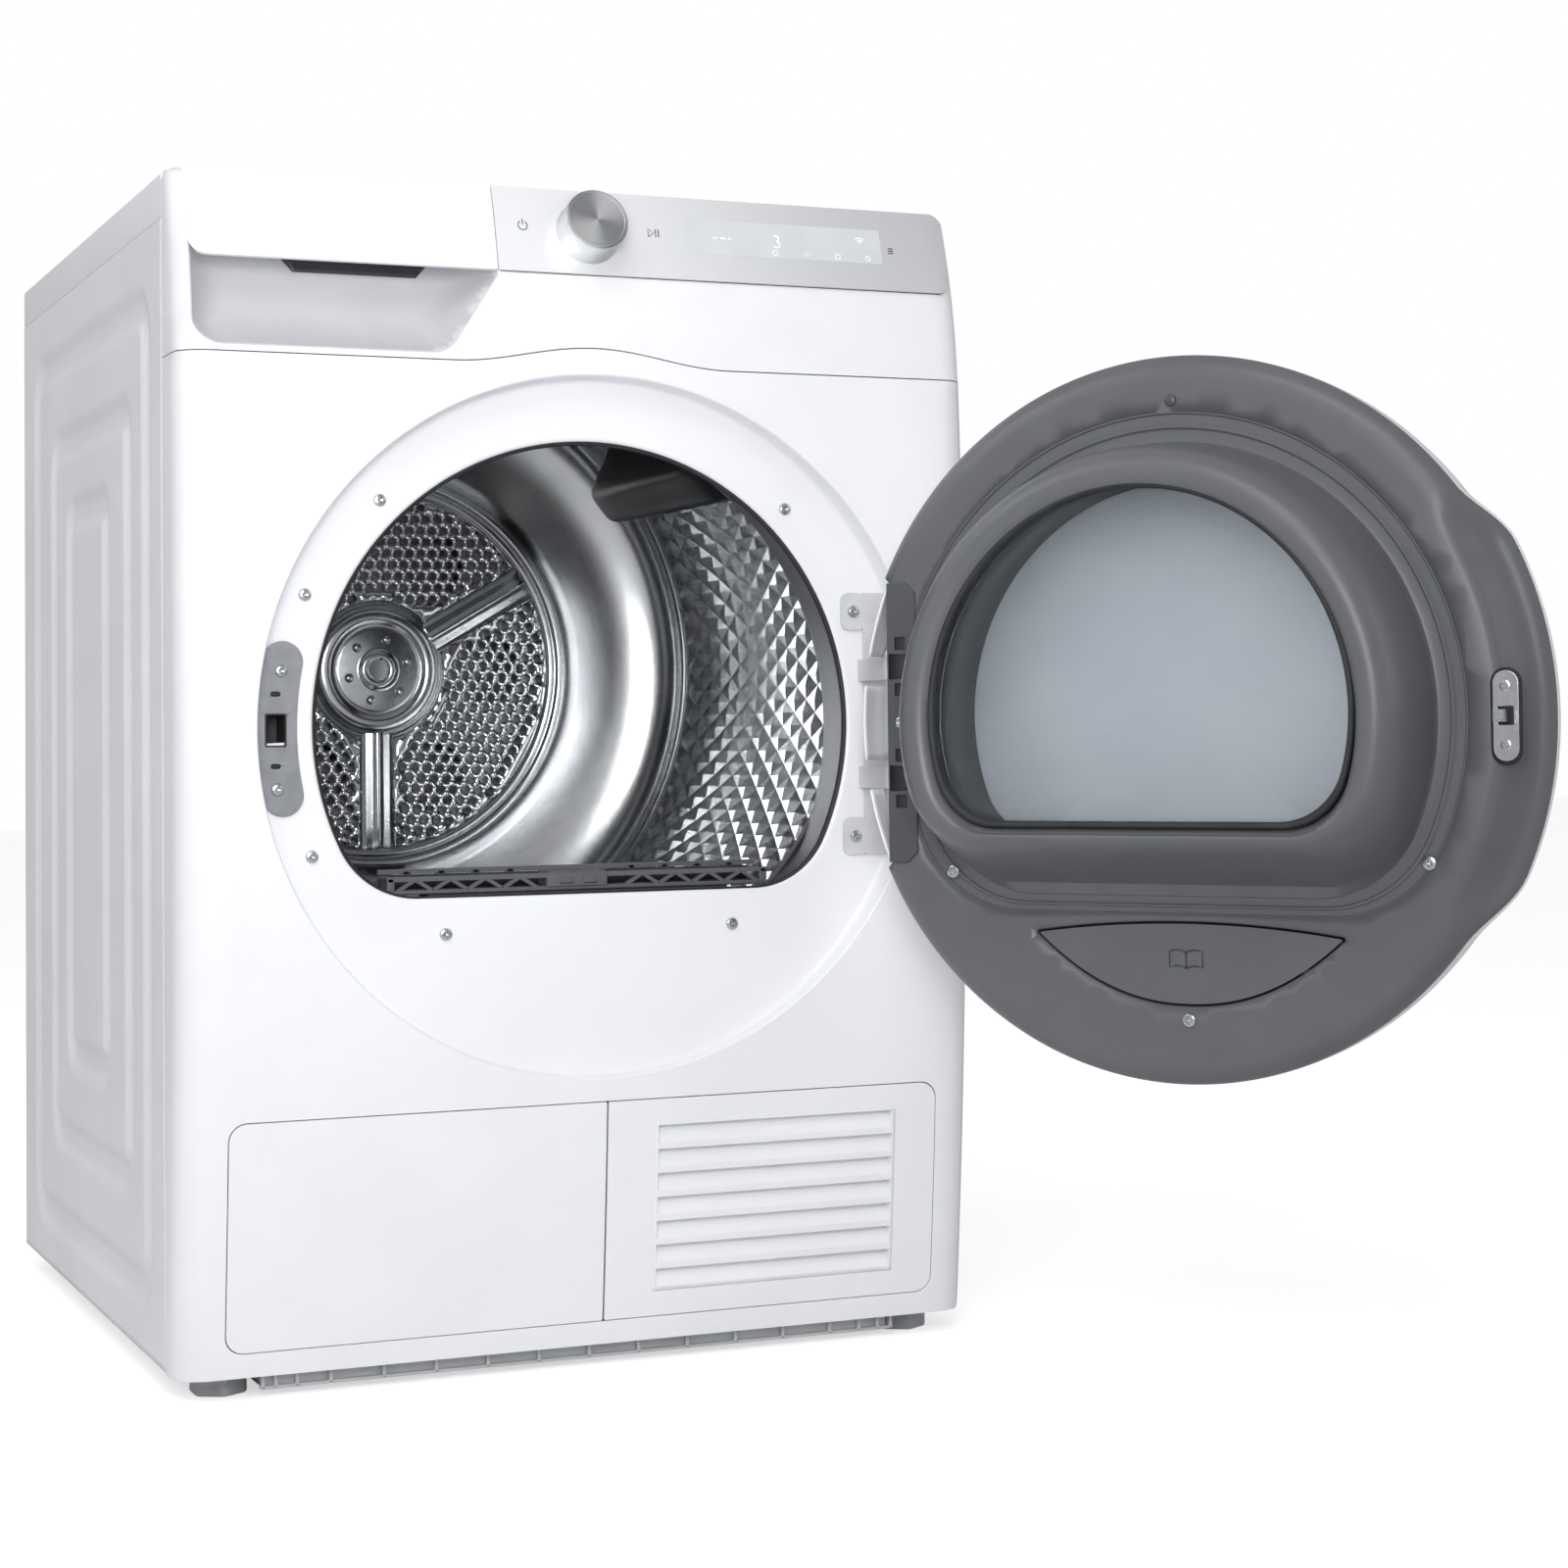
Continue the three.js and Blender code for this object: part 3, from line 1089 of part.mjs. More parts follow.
function latchPlate() {
  const y = FRAME_Y + CLEARANCE;
  const plate = prism(roundedRect(LATCH_X - 8.5, LATCH_X + 8.5, DOOR_Z - 30, DOOR_Z + 28, 8, 4), y, y + 1.5, "y");
  return cut(plate, box(LATCH_X - 6, LATCH_X + 6, y - 1, y + 3, DOOR_Z - 7, DOOR_Z + 5));
}

function latchHook() {
  const y = FRAME_Y + CLEARANCE;
  const stem = box(LATCH_X - 2.5, LATCH_X + 2.5, y, y + 20, DOOR_Z - 5, DOOR_Z + 3);
  const tip = [[LATCH_X - 2.5, y + 14], [LATCH_X + 4.5, y + 14], [LATCH_X + 2.5, y + 20], [LATCH_X - 2.5, y + 20]];
  return join(stem, prism(tip, DOOR_Z - 5, DOOR_Z + 3, "z"));
}

// ---------------------------------------------------------------- assembly
function addCabinet(group) {
  node("base_pan", basePan(), "grey", group);
  for (const [place, at] of Object.entries(footPlaces())) node("foot_" + place, foot(at), "grey", group);
  node("side_panel_left", sidePanel(-1), "white", group);
  node("side_panel_right", sidePanel(1), "white", group);
  node("rear_panel", rearPanel(), "zinc", group);
  node("rear_duct_cover", rearDuctCover(), "zinc", group);
  node("top_cover", topCover(), "white", group);
  node("mains_inlet", mainsInlet(), "dark", group);
  node("front_panel", frontPanel(), "white", group);
  node("access_flap", accessFlap(), "white", group);
  node("louvre_grille", louvreGrille(), "white", group);
}

function addConsole(group) {
  node("console_panel", consolePanel(), "white", group);
  node("console_overlay", consoleOverlay(), "silver", group);
  node("display_window", displayWindow(), "recess", group);
  node("tank_drawer_front", tankDrawerFront(), "fascia", group);
  node("water_tank", waterTank(), "grey", group);
  node("tank_housing", tankHousing(), "zinc", group);
  dialKnob(group);
  node("control_board", controlBoard(), "dark", group);
}

function addDrum(group) {
  node("front_bulkhead", frontBulkhead(), "dark", group);
  node("door_seal", doorSeal(), "rubber", group);
  node("lint_filter", lintFilter(), "graphite", group);
  node("filter_housing", filterHousing(), "dark", group);
  node("drum_shell", drumShell(), "steel", group);
  node("drum_back", drumBack(), "steel", group);
  [0, 1, 2].forEach((i) => node("lifter_" + (i + 1), lifter(LIFTER_ANGLE + 120 * i), "dark", group));
  node("drum_shaft", drumShaft(), "zinc", group);
  node("rear_bearing", rearBearing(), "zinc", group);
  node("rear_bulkhead", rearBulkhead(), "zinc", group);
  node("drum_belt", drumBelt(), "rubber", group);
  node("support_roller_left", supportRoller(-1), "grey", group);
  node("support_roller_right", supportRoller(1), "grey", group);
}

function addDrive(group) {
  node("motor", motor(), "zinc", group);
  node("motor_rotor", motorRotor(), "steel", group);
  node("blower_fan", blowerFan(), "dark", group);
  node("blower_housing", blowerHousing(), "dark", group);
  node("idler_arm", idlerArm(), "zinc", group);
  node("idler_pulley", idlerPulley(), "grey", group);
  node("compressor", compressor(), "dark", group);
  node("evaporator", coilBlock(JOINT_Y + 8, JOINT_Y + 118), "copper", group);
  node("condenser_coil", coilBlock(JOINT_Y + 128, JOINT_Y + 238), "copper", group);
  node("exchanger_cover", exchangerCover(), "grey", group);
  node("cover_lever_left", coverLever(-228), "dark", group);
  node("cover_lever_right", coverLever(-52), "dark", group);
}

function addDoor(group) {
  const pivot = [HINGE_X, HINGE_Y, 0];
  const open = new THREE.Group();
  open.position.set(...pivot);
  open.rotation.z = radians(DOOR_OPEN_ANGLE);
  group.add(open);
  node("door_inner_frame", doorInnerFrame(), "graphite", open, pivot);
  node("door_outer_cover", doorOuterCover(), "fascia", open, pivot);
  node("door_outer_pane", doorOuterPane(), "glass", open, pivot);
  node("door_window", doorWindow(), "glass", open, pivot);
  node("hinge_cover", hingeCover(), "dark", open, pivot);
  node("hinge_leaf", hingeLeaf(), "zinc", open, pivot);
  node("latch_plate", latchPlate(), "steel", open, pivot);
  node("latch_hook", latchHook(), "steel", open, pivot);
  node("hinge_plate", hingePlate(), "zinc", group);
  node("hinge_pin", hingePin(), "steel", group);
  node("lock_plate", lockPlate(), "graphite", group);
}

addCabinet(GROUP);
addConsole(GROUP);
addDrum(GROUP);
addDrive(GROUP);
addDoor(GROUP);

export default GROUP;
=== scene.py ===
"""A freestanding heat-pump clothes dryer with its round door open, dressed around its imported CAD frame.

Sizes are in millimetres in the CAD frame, X right, Y to the back and Z up, and build() turns them into
metres. A shape is a pair: an array of points, and a list of face arrays. The door is worked out closed, then
swung open.
"""

import math

import bmesh
import bpy
import numpy as np
from mathutils import Matrix, Vector
from mathutils.geometry import delaunay_2d_cdt


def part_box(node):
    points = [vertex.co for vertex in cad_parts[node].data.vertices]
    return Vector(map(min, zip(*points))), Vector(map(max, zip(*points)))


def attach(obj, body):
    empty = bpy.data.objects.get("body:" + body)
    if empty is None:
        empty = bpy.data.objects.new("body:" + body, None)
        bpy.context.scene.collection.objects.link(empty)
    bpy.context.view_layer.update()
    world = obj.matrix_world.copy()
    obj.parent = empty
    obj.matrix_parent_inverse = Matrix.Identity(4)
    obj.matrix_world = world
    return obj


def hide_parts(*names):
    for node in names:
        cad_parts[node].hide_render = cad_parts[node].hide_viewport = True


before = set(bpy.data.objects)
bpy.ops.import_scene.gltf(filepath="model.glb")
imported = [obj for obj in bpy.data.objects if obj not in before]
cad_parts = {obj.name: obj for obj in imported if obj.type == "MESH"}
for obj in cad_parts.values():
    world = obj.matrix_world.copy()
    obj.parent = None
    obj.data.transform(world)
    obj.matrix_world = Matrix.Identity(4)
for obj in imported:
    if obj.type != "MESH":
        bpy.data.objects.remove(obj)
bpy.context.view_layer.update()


# ---------------------------------------------------------------- places read from the frame
def span(node, axis):
    """Lowest and highest coordinate of a CAD node along one axis, in millimetres."""
    low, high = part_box(node)
    return 1000 * low[axis], 1000 * high[axis]


def middle(node, axis):
    """Halfway between a CAD node's lowest and highest coordinate."""
    return sum(span(node, axis)) / 2


HALF_W = span("side_panel_right", 0)[1]
JOINT_Y = span("side_panel_left", 1)[0] - 0.4
SIDE_REAR_Y = span("side_panel_left", 1)[1]
SIDE_BOTTOM_Z, SIDE_TOP_Z = span("side_panel_left", 2)
COVER_Z, TOP_Z = span("top_cover", 2)
COVER_REAR_Y = span("top_cover", 1)[1]
PAN_FRONT_Y = span("base_pan", 1)[0]
FLOOR_Z = span("foot_front_left", 2)[0]
FRONT_BOTTOM_Z = span("front_panel", 2)[0]
STRIP_Z = span("console_overlay", 2)[0]
FASCIA_LEFT, FASCIA_RIGHT = span("tank_drawer_front", 0)
OVERLAY_LEFT, OVERLAY_RIGHT = span("console_overlay", 0)
DISPLAY_X = span("display_window", 0)
DISPLAY_Z = span("display_window", 2)
DRUM_R = span("drum_shell", 0)[1]
DRUM_Z = middle("drum_shell", 2)
DRUM_FRONT_Y = span("drum_shell", 1)[0]
DRUM_BACK_Y = span("drum_back", 1)[1]
HINGE_X = middle("hinge_pin", 0)
HINGE_Y = middle("hinge_pin", 1)
DOOR_Z = middle("hinge_pin", 2)
FILTER_Y = span("lint_filter", 1)
FILTER_TOP = span("lint_filter", 2)[1]

SPLIT_Z = TOP_Z - 131.0  # the joint under the console
CORNER_R = 22.0  # rounded vertical corners of the front
GAP = 0.4  # between parts that meet
RING_X = 4.0  # centre of the door and its ring, right of the opening's
RING_R = 251.5  # edge of the pressed ring
FLOOR_Y = -321.0  # face of the ring's floor
FRAME_Y = -326.0  # face of the closed door's inner frame
DOOR_OPEN = math.radians(125.4)
OPENING_R = 203.5
OPENING_Z = 457.0
OPENING_FLAT = 122.0  # its flat bottom below its centre
OPENING_FILLET = 62.0
OVERLAY = 2.6  # fascia and overlay stand proud of the console by this
LATCH_X = RING_X - RING_R + 17
LOWER_X, LOWER_Z = (-267, 268.5), (27.5, 186.5)  # the flap and the grille together
LOWER_SPLIT = 7  # the joint between them
BULKHEAD_Y = -315.4  # face of the front bulkhead
ARM_Z = 40  # each hinge arm above and below the door's centre
HINGE_FLAT = 218.0  # the door's round inside is cut straight here, right of its centre,
HINGE_HALF = 103.0  # this far up and down
OUT, IN = (0, -1, 0), (0, 1, 0)  # out of the front, and out of the closed door's inside


# ---------------------------------------------------------------- outlines and flat sheets
def arc(cu, cv, r, start, end, steps):
    """Points (cu + r cos a, cv + r sin a) for angles a from start to end in degrees."""
    a = np.radians(np.linspace(start, end, steps + 1))
    return np.column_stack([cu + r * np.cos(a), cv + r * np.sin(a)])


def rounded_rect(u0, u1, v0, v1, radii, steps=8):
    """A rectangle with rounded corners; radii go lower right, upper right, upper left, lower left."""
    a, b, c, d = np.maximum(np.broadcast_to(radii, 4), 0.2)
    return np.vstack([
        arc(u1 - a, v0 + a, a, -90, 0, steps), arc(u1 - b, v1 - b, b, 0, 90, steps),
        arc(u0 + c, v1 - c, c, 90, 180, steps), arc(u0 + d, v0 + d, d, 180, 270, steps),
    ])


def d_outline(cu, cv, r, flat, fillet, steps=96):
    """A circle whose bottom is cut flat below its centre, with corners of a smaller radius."""
    rise = fillet - flat
    run = math.sqrt((r - fillet) ** 2 - rise**2)
    turn = math.degrees(math.atan2(rise, run))
    return np.vstack([
        arc(cu, cv, r, turn, 180 - turn, steps),
        arc(cu - run, cv + rise, fillet, 180 - turn, 270, steps // 4)[1:],
        arc(cu + run, cv + rise, fillet, -90, turn, steps // 4)[:-1],
    ])


def densify(ring, step):
    """The same closed outline with points added so that no edge is longer than step."""
    closed = np.vstack([ring, ring[:1]])
    length = np.concatenate([[0], np.cumsum(np.hypot(*np.diff(closed, axis=0).T))])
    extra = np.arange(0, length[-1], step)
    near = np.abs(extra[:, None] - length[None]).min(1) < 0.3 * step
    at = np.unique(np.concatenate([length, extra[~near]]))[:-1]
    keep = np.concatenate([[True], np.diff(at) > 1e-3])
    at = at[keep]
    return np.column_stack([np.interp(at, length, closed[:, i]) for i in (0, 1)])


def inside(points, rings):
    """Even-odd test: a point is in when a level line from it crosses the rings an odd number of times."""
    odd = np.zeros(len(points), bool)
    u, v = points[:, :1], points[:, 1:2]
    for ring in rings:
        p, q = ring, np.roll(ring, -1, 0)
        crosses = (p[:, 1] > v) != (q[:, 1] > v)
        rise = np.where(q[:, 1] == p[:, 1], 1e-9, q[:, 1] - p[:, 1])
        where = p[:, 0] + (v - p[:, 1]) * (q[:, 0] - p[:, 0]) / rise
        odd ^= (crosses & (u < where)).sum(1) % 2 == 1
    return odd


def nearest(points, targets):
    """Distance from each point to the nearest target."""
    return np.concatenate([
        np.sqrt(((some[:, None] - targets[None]) ** 2).sum(2)).min(1)
        for some in np.array_split(points, max(1, len(points) // 2000))
    ])


def sheet(outline, holes=(), step=12.0):
    """Points and triangles of a flat sheet: its edges and a square grid in a constrained Delaunay mesh."""
    rings = [densify(np.asarray(r, float), step) for r in (outline, *holes)]
    edge = np.vstack(rings)
    low, high = edge.min(0), edge.max(0)
    axes = [np.arange(low[i] + step / 2, high[i], step) for i in (0, 1)]
    grid = np.stack(np.meshgrid(*axes), -1).reshape(-1, 2)
    grid = grid[inside(grid, rings)]
    grid = grid[nearest(grid, edge) > 0.45 * step] if len(grid) else grid
    points = np.vstack([edge, grid])
    starts = np.cumsum([0] + [len(r) for r in rings])
    links = [np.column_stack([np.arange(len(r)), np.roll(np.arange(len(r)), -1)]) + s
             for r, s in zip(rings, starts)]
    made = delaunay_2d_cdt(list(map(Vector, points.tolist())), np.vstack(links).tolist(), [], 0, 1e-6)
    verts = np.array([v[:] for v in made[0]])
    tris = np.array(made[2])
    tris = tris[inside(verts[tris].mean(1), rings)]
    return verts, tris


# ---------------------------------------------------------------- shapes
def skin(grid, around=False, along=False):
    """Quads over a (rows, columns, 3) array; around joins the last column to the first, along the rows."""
    rows, columns = grid.shape[:2]
    i, j = np.meshgrid(np.arange(rows if along else rows - 1),
                       np.arange(columns if around else columns - 1), indexing="ij")
    a, b = i * columns + j, i * columns + (j + 1) % columns
    c, d = ((i + 1) % rows) * columns + (j + 1) % columns, ((i + 1) % rows) * columns + j
    return grid.reshape(-1, 3), [np.stack([a, b, c, d], -1).reshape(-1, 4)]


def tube(rings, start=True, end=True):
    """Rings of equal length joined into a wall, with a flat face over its first and last ring."""
    grid = np.asarray(rings, float)
    points, faces = skin(grid, around=True)
    rows, columns = grid.shape[:2]
    if start:
        faces.append(np.arange(columns)[None, ::-1])
    if end:
        faces.append((np.arange(columns) + (rows - 1) * columns)[None])
    return points, faces


def turned(profile, centre, axis=(0, 1, 0), segments=96, closed=False):
    """A profile of (radius, height) turned about an axis through centre, height running along the axis."""
    w = np.asarray(axis, float) / np.linalg.norm(axis)
    u = np.cross(w, (1, 0, 0) if abs(w[0]) < 0.9 else (0, 0, 1))
    u /= np.linalg.norm(u)
    v = np.cross(w, u)
    a = np.linspace(0, 2 * np.pi, segments, endpoint=False)
    r, h = np.asarray(profile, float).T
    round_ = np.cos(a)[:, None] * u + np.sin(a)[:, None] * v
    grid = np.asarray(centre) + r[:, None, None] * round_ + h[:, None, None] * w
    return skin(grid, around=True, along=closed)


def block(x, y, z, r=0.8):
    """A box between pairs of limits, with its upright edges rounded and its ends chamfered by r."""
    rings = []
    for inset, level in ((r, z[0]), (0, z[0] + r), (0, z[1] - r), (r, z[1])):
        flat = rounded_rect(x[0] + inset, x[1] - inset, y[0] + inset, y[1] - inset, max(r, 0.3), 3)
        rings.append(np.column_stack([flat, np.full(len(flat), level)]))
    return tube(rings)


def joined(*shapes):
    """Several shapes as one."""
    points, faces, start = [], [], 0
    for p, f in shapes:
        points.append(p)
        faces += [array + start for array in f]
        start += len(p)
    return np.vstack(points), faces


def facing(shape, towards=None, inward=None):
    """Turns every face over if, weighted by area, they look away from a direction or from a point.

    With neither, centre times area vector adds up to three times the enclosed volume, so a closed shape
    faces out.
    """
    points, faces = shape
    score = 0.0
    for array in faces:
        ring = points[array]
        area = np.cross(ring, np.roll(ring, -1, 1)).sum(1) / 2
        if towards is not None:
            score += (area @ np.asarray(towards, float)).sum()
        else:
            origin = np.zeros(3) if inward is None else np.asarray(inward, float)
            out = ((ring.mean(1) - origin) * area).sum()
            score += out if inward is None else -out
    return (points, [array[:, ::-1] for array in faces]) if score < 0 else shape


def standing(line, y):
    """An outline of (x, z) as a loop of points at depth y."""
    return np.column_stack([line[:, 0], np.full(len(line), y), line[:, 1]])


def panel(outline, y, towards, holes=(), step=8):
    """A flat sheet at depth y, cut to an outline of (x, z)."""
    flat, tris = sheet(outline, holes, step)
    return facing((standing(flat, y), [tris]), towards=towards)


def about_door(a, r, y):
    """A loop about the door's centre: radius r and depth y, each a number or an array over the angles a."""
    return np.column_stack([RING_X + r * np.cos(a), np.broadcast_to(y, a.shape), DOOR_Z + r * np.sin(a)])


def build(name, shape, finish, body="cabinet", stands_for=(), thick=0.0, bevel=0.0,
          segments=2, crease=38, flat=False):
    """Makes the mesh object of one piece: doubles merged, smooth but for sharp edges, then its modifiers."""
    points, faces = shape
    mesh = bpy.data.meshes.new(name)
    listed = [face for array in faces for face in array.tolist()]
    mesh.from_pydata((np.asarray(points) / 1000).tolist(), [], listed)
    bm = bmesh.new()
    bm.from_mesh(mesh)
    bmesh.ops.remove_doubles(bm, verts=bm.verts, dist=2e-6)
    bm.to_mesh(mesh)
    bm.free()
    if not flat:
        mesh.shade_smooth()
        mesh.set_sharp_from_angle(angle=math.radians(crease))
    piece = bpy.data.objects.new(name, mesh)
    bpy.context.scene.collection.objects.link(piece)
    mesh.materials.append(finish)
    if thick:
        wall = piece.modifiers.new("wall", "SOLIDIFY")
        wall.thickness, wall.offset = thick / 1000, -1.0
    if bevel:
        edge = piece.modifiers.new("edge", "BEVEL")
        edge.width, edge.segments, edge.limit_method = bevel / 1000, segments, "ANGLE"
        edge.angle_limit = math.radians(45)
        edge.harden_normals = True
    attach(piece, body)
    if stands_for:
        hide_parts(*stands_for)
    return piece


# ---------------------------------------------------------------- the bulging front
FLAT_S = HALF_W - CORNER_R
SIDE_S = FLAT_S + CORNER_R * math.pi / 2
END_S = SIDE_S + 26.0


def front_y(z):
    """Depth of the front at height z: one parabola up to the console, another over it."""
    z = np.asarray(z, float)
    low = -316.5 - 0.063364 * (z - 11) + 1.16574e-4 * (z - 11) * (z - 445)
    up = z - SPLIT_Z
    return np.where(z <= SPLIT_Z, low, -339 + 0.05 * up + 0.0011917 * up * up)


def split_z(x):
    """The line under the console: level, and raised by a squared cosine over the door."""
    return SPLIT_Z + 12.5 * np.cos(np.minimum(1, np.abs(x) / 105) * np.pi / 2) ** 2


def unroll(x):
    """Distance along the front's section for a width x: x on the flat, arc length on the rounded corner."""
    x = np.asarray(x, float)
    over = np.clip((np.abs(x) - FLAT_S) / CORNER_R, 0, 1)
    return np.sign(x) * (np.minimum(np.abs(x), FLAT_S) + CORNER_R * np.arcsin(over))


def on_front(s, z, out=0.0):
    """The point at unrolled distance s and height z, out of the front: flat, round corner, then back."""
    s, z, out = (np.asarray(a, float) for a in np.broadcast_arrays(s, z, out))
    run = np.abs(s)
    angle = np.clip((run - FLAT_S) / CORNER_R, 0, np.pi / 2)
    r = CORNER_R + out
    x = np.where(run <= FLAT_S, run, FLAT_S + r * np.sin(angle))
    y = front_y(z) + CORNER_R - r * np.cos(angle)
    back = np.clip((run - SIDE_S) / (END_S - SIDE_S), 0, 1)
    y = y + back * (JOINT_Y - GAP - front_y(z) - CORNER_R)
    return np.stack([np.sign(s) * x, y, z], -1)


def front_sheet(outline, holes=(), step=12.0, out=0.0, depth=None):
    """A sheet cut in unrolled front coordinates and laid on the front, sunk by depth(s, z) straight back."""
    flat, tris = sheet(outline, holes, step)
    points = on_front(flat[:, 0], flat[:, 1], out)
    if depth is not None:
        points[:, 1] += depth(flat[:, 0], flat[:, 1])
    return facing((points, [tris]), towards=(0, -1, 0))


def to_front(outline):
    """An outline of (x, z) in unrolled front coordinates."""
    return np.column_stack([unroll(outline[:, 0]), outline[:, 1]])


# ---------------------------------------------------------------- finishes
def linear(code):
    """An sRGB hex colour as linear RGBA: below 0.04045 divided by 12.92, above it the 2.4 power."""
    c = np.array([int(code[i:i + 2], 16) / 255 for i in (1, 3, 5)])
    c = np.where(c <= 0.04045, c / 12.92, ((c + 0.055) / 1.055) ** 2.4)
    return (*c.tolist(), 1.0)


def add(tree, kind, inputs=None, **settings):
    """Adds one node: settings are its properties, inputs its sockets, each a value or a node's output."""
    node = tree.nodes.new(kind)
    for key, value in settings.items():
        setattr(node, key, value)
    for key, value in (inputs or {}).items():
        if isinstance(value, bpy.types.NodeSocket):
            tree.links.new(value, node.inputs[key])
        else:
            node.inputs[key].default_value = value
    return node


def start(name, **constants):
    """A new material: its tree, its shader with constant sockets set, and its object coordinates."""
    material = bpy.data.materials.new(name)
    material.use_nodes = True
    tree = material.node_tree
    tree.nodes.clear()
    shader = add(tree, "ShaderNodeBsdfPrincipled", {k.replace("_", " "): v for k, v in constants.items()})
    add(tree, "ShaderNodeOutputMaterial", {"Surface": shader.outputs[0]})
    place = add(tree, "ShaderNodeTexCoord").outputs["Object"]
    return material, tree, shader, place


def surfaced(name, colour, shade, cloud, grain, height, rough, spread, stretch=(1, 1, 1), **constants):
    """A finish with a slow change of colour every cloud mm, and a fine grain of its roughness and relief.

    The grain is noise with features grain mm across, stretched along an axis for drawn or brushed metal.
    """
    material, tree, shader, place = start(name, **constants)
    slow = add(tree, "ShaderNodeTexNoise", {"Vector": place, "Scale": 1000 / cloud, "Detail": 2.0})
    tone = add(tree, "ShaderNodeValToRGB", {"Fac": slow.outputs["Fac"]})
    tone.color_ramp.elements[0].position, tone.color_ramp.elements[1].position = 0.38, 0.62
    tone.color_ramp.elements[0].color, tone.color_ramp.elements[1].color = linear(shade), linear(colour)
    tree.links.new(tone.outputs["Color"], shader.inputs["Base Color"])
    turn = add(tree, "ShaderNodeMapping", {"Vector": place, "Scale": stretch})
    fine = add(tree, "ShaderNodeTexNoise",
               {"Vector": turn.outputs[0], "Scale": 1000 / grain, "Detail": 3.0})
    sheen = add(tree, "ShaderNodeMapRange",
                {"Value": fine.outputs["Fac"], "From Min": 0.3, "From Max": 0.7,
                 "To Min": rough - spread, "To Max": rough + spread})
    tree.links.new(sheen.outputs[0], shader.inputs["Roughness"])
    bump = add(tree, "ShaderNodeBump",
               {"Height": fine.outputs["Fac"], "Strength": 1.0, "Distance": height / 1000})
    tree.links.new(bump.outputs[0], shader.inputs["Normal"])
    return material


# Baked enamel on pressed steel: smooth, with a faint orange peel about 2 mm across that softens reflections.
ENAMEL = surfaced("white_baked_enamel_steel", "#eff0f3", "#ecedf1", 90, 2.2, 0.004, 0.34, 0.03,
                  Coat_Weight=0.2, Coat_Roughness=0.2)
# The side sheets are the same steel with a duller powder coat.
SIDE_ENAMEL = surfaced("white_powder_coat_steel", "#eaebee", "#e6e7eb", 120, 1.6, 0.005, 0.4, 0.03)
# Moulded ABS, lightly textured: a soft sheen with a fine spark grain.
CONSOLE = surfaced("white_moulded_abs", "#eff0f3", "#ebecf0", 70, 1.0, 0.004, 0.34, 0.03)
# High-gloss ABS of the drawer front and the door: almost mirror smooth.
GLOSS = surfaced("gloss_white_abs", "#f8f9fb", "#f5f6f9", 60, 6.0, 0.002, 0.2, 0.03, Coat_Weight=0.4,
                 Coat_Roughness=0.06)
# Moulded polypropylene of the hand recess, grey and matt.
RECESS = surfaced("grey_moulded_polypropylene", "#cdced2", "#c8c9cd", 40, 0.9, 0.005, 0.5, 0.04)
# Acrylic window over the display, smooth with a milky back print.
ACRYLIC = surfaced("milky_acrylic_window", "#d8dade", "#d3d5d9", 30, 4.0, 0.001, 0.16, 0.02, Coat_Weight=0.5,
                   Coat_Roughness=0.04)
# Screen-printed ink, dull and slightly raised.
INK = surfaced("dark_printed_ink", "#4a4d52", "#43464b", 8, 0.5, 0.002, 0.55, 0.05)
# Lit segments of the display glow a little through its print.
WHITE_INK = surfaced("white_printed_ink", "#fdfdfe", "#f8f9fa", 8, 0.5, 0.002, 0.5, 0.05,
                     Emission_Strength=0.25)
# The book symbol is moulded in and stays matt.
SYMBOL_INK = surfaced("moulded_symbol_grey", "#3f4145", "#393b3f", 8, 0.5, 0.002, 0.5, 0.05)
# Glass-filled polypropylene of the door's inside: graphite grey, semi-matt from a fine eroded texture.
GRAPHITE = surfaced("graphite_textured_polypropylene", "#626468", "#5f6165", 60, 0.9, 0.004, 0.36, 0.04)
GRAPHITE_DARK = surfaced("dark_textured_polypropylene", "#4b4d51", "#484a4e", 40, 0.9, 0.004, 0.42, 0.05)
# The hinge cover is the same plastic moulded in a darker grey.
COVER_GREY = surfaced("dark_grey_moulded_polypropylene", "#505257", "#4c4e53", 40, 0.9, 0.004, 0.4, 0.05)
# Milky polycarbonate between the dish and the outer pane: it hides what is behind and looks pale blue.
BACKING = surfaced("milky_polycarbonate_backing", "#e2e8f0", "#dae1ea", 120, 1.5, 0.002, 0.3, 0.04)
# Black moulded polypropylene of the bulkhead and the lifters, satin.
DARK = surfaced("black_moulded_polypropylene", "#3a3b3f", "#343539", 40, 1.0, 0.005, 0.36, 0.05)
# EPDM rubber of the seals: matt, with a bloom.
RUBBER = surfaced("black_epdm_rubber", "#2b2c2e", "#232426", 20, 0.7, 0.006, 0.65, 0.06)
# Deep-drawn stainless steel: bright and smooth, with a faint grain along the drum.
STEEL = surfaced("drawn_stainless_steel", "#d6d8da", "#cdcfd2", 70, 1.6, 0.0006, 0.2, 0.035,
                 stretch=(1, 0.05, 1), Metallic=1.0)
# Galvanised sheet: zinc spangles about 9 mm across over a dull grey.
ZINC = surfaced("galvanised_sheet_steel", "#b9bcbf", "#a3a6aa", 9, 3.0, 0.003, 0.4, 0.08, Metallic=0.85)
# Zinc-plated screws and latch parts, bright with turning marks.
PLATED = surfaced("zinc_plated_steel", "#c9cbce", "#bbbdc1", 6, 0.8, 0.001, 0.24, 0.05, Metallic=1.0)
# Nickel-plated striker: polished, so it mirrors the room in hard bright and dark patches.
NICKEL = surfaced("polished_nickel_plate", "#e2e3e5", "#d9dadd", 10, 1.0, 0.0005, 0.12, 0.03,
                  Metallic=1.0)
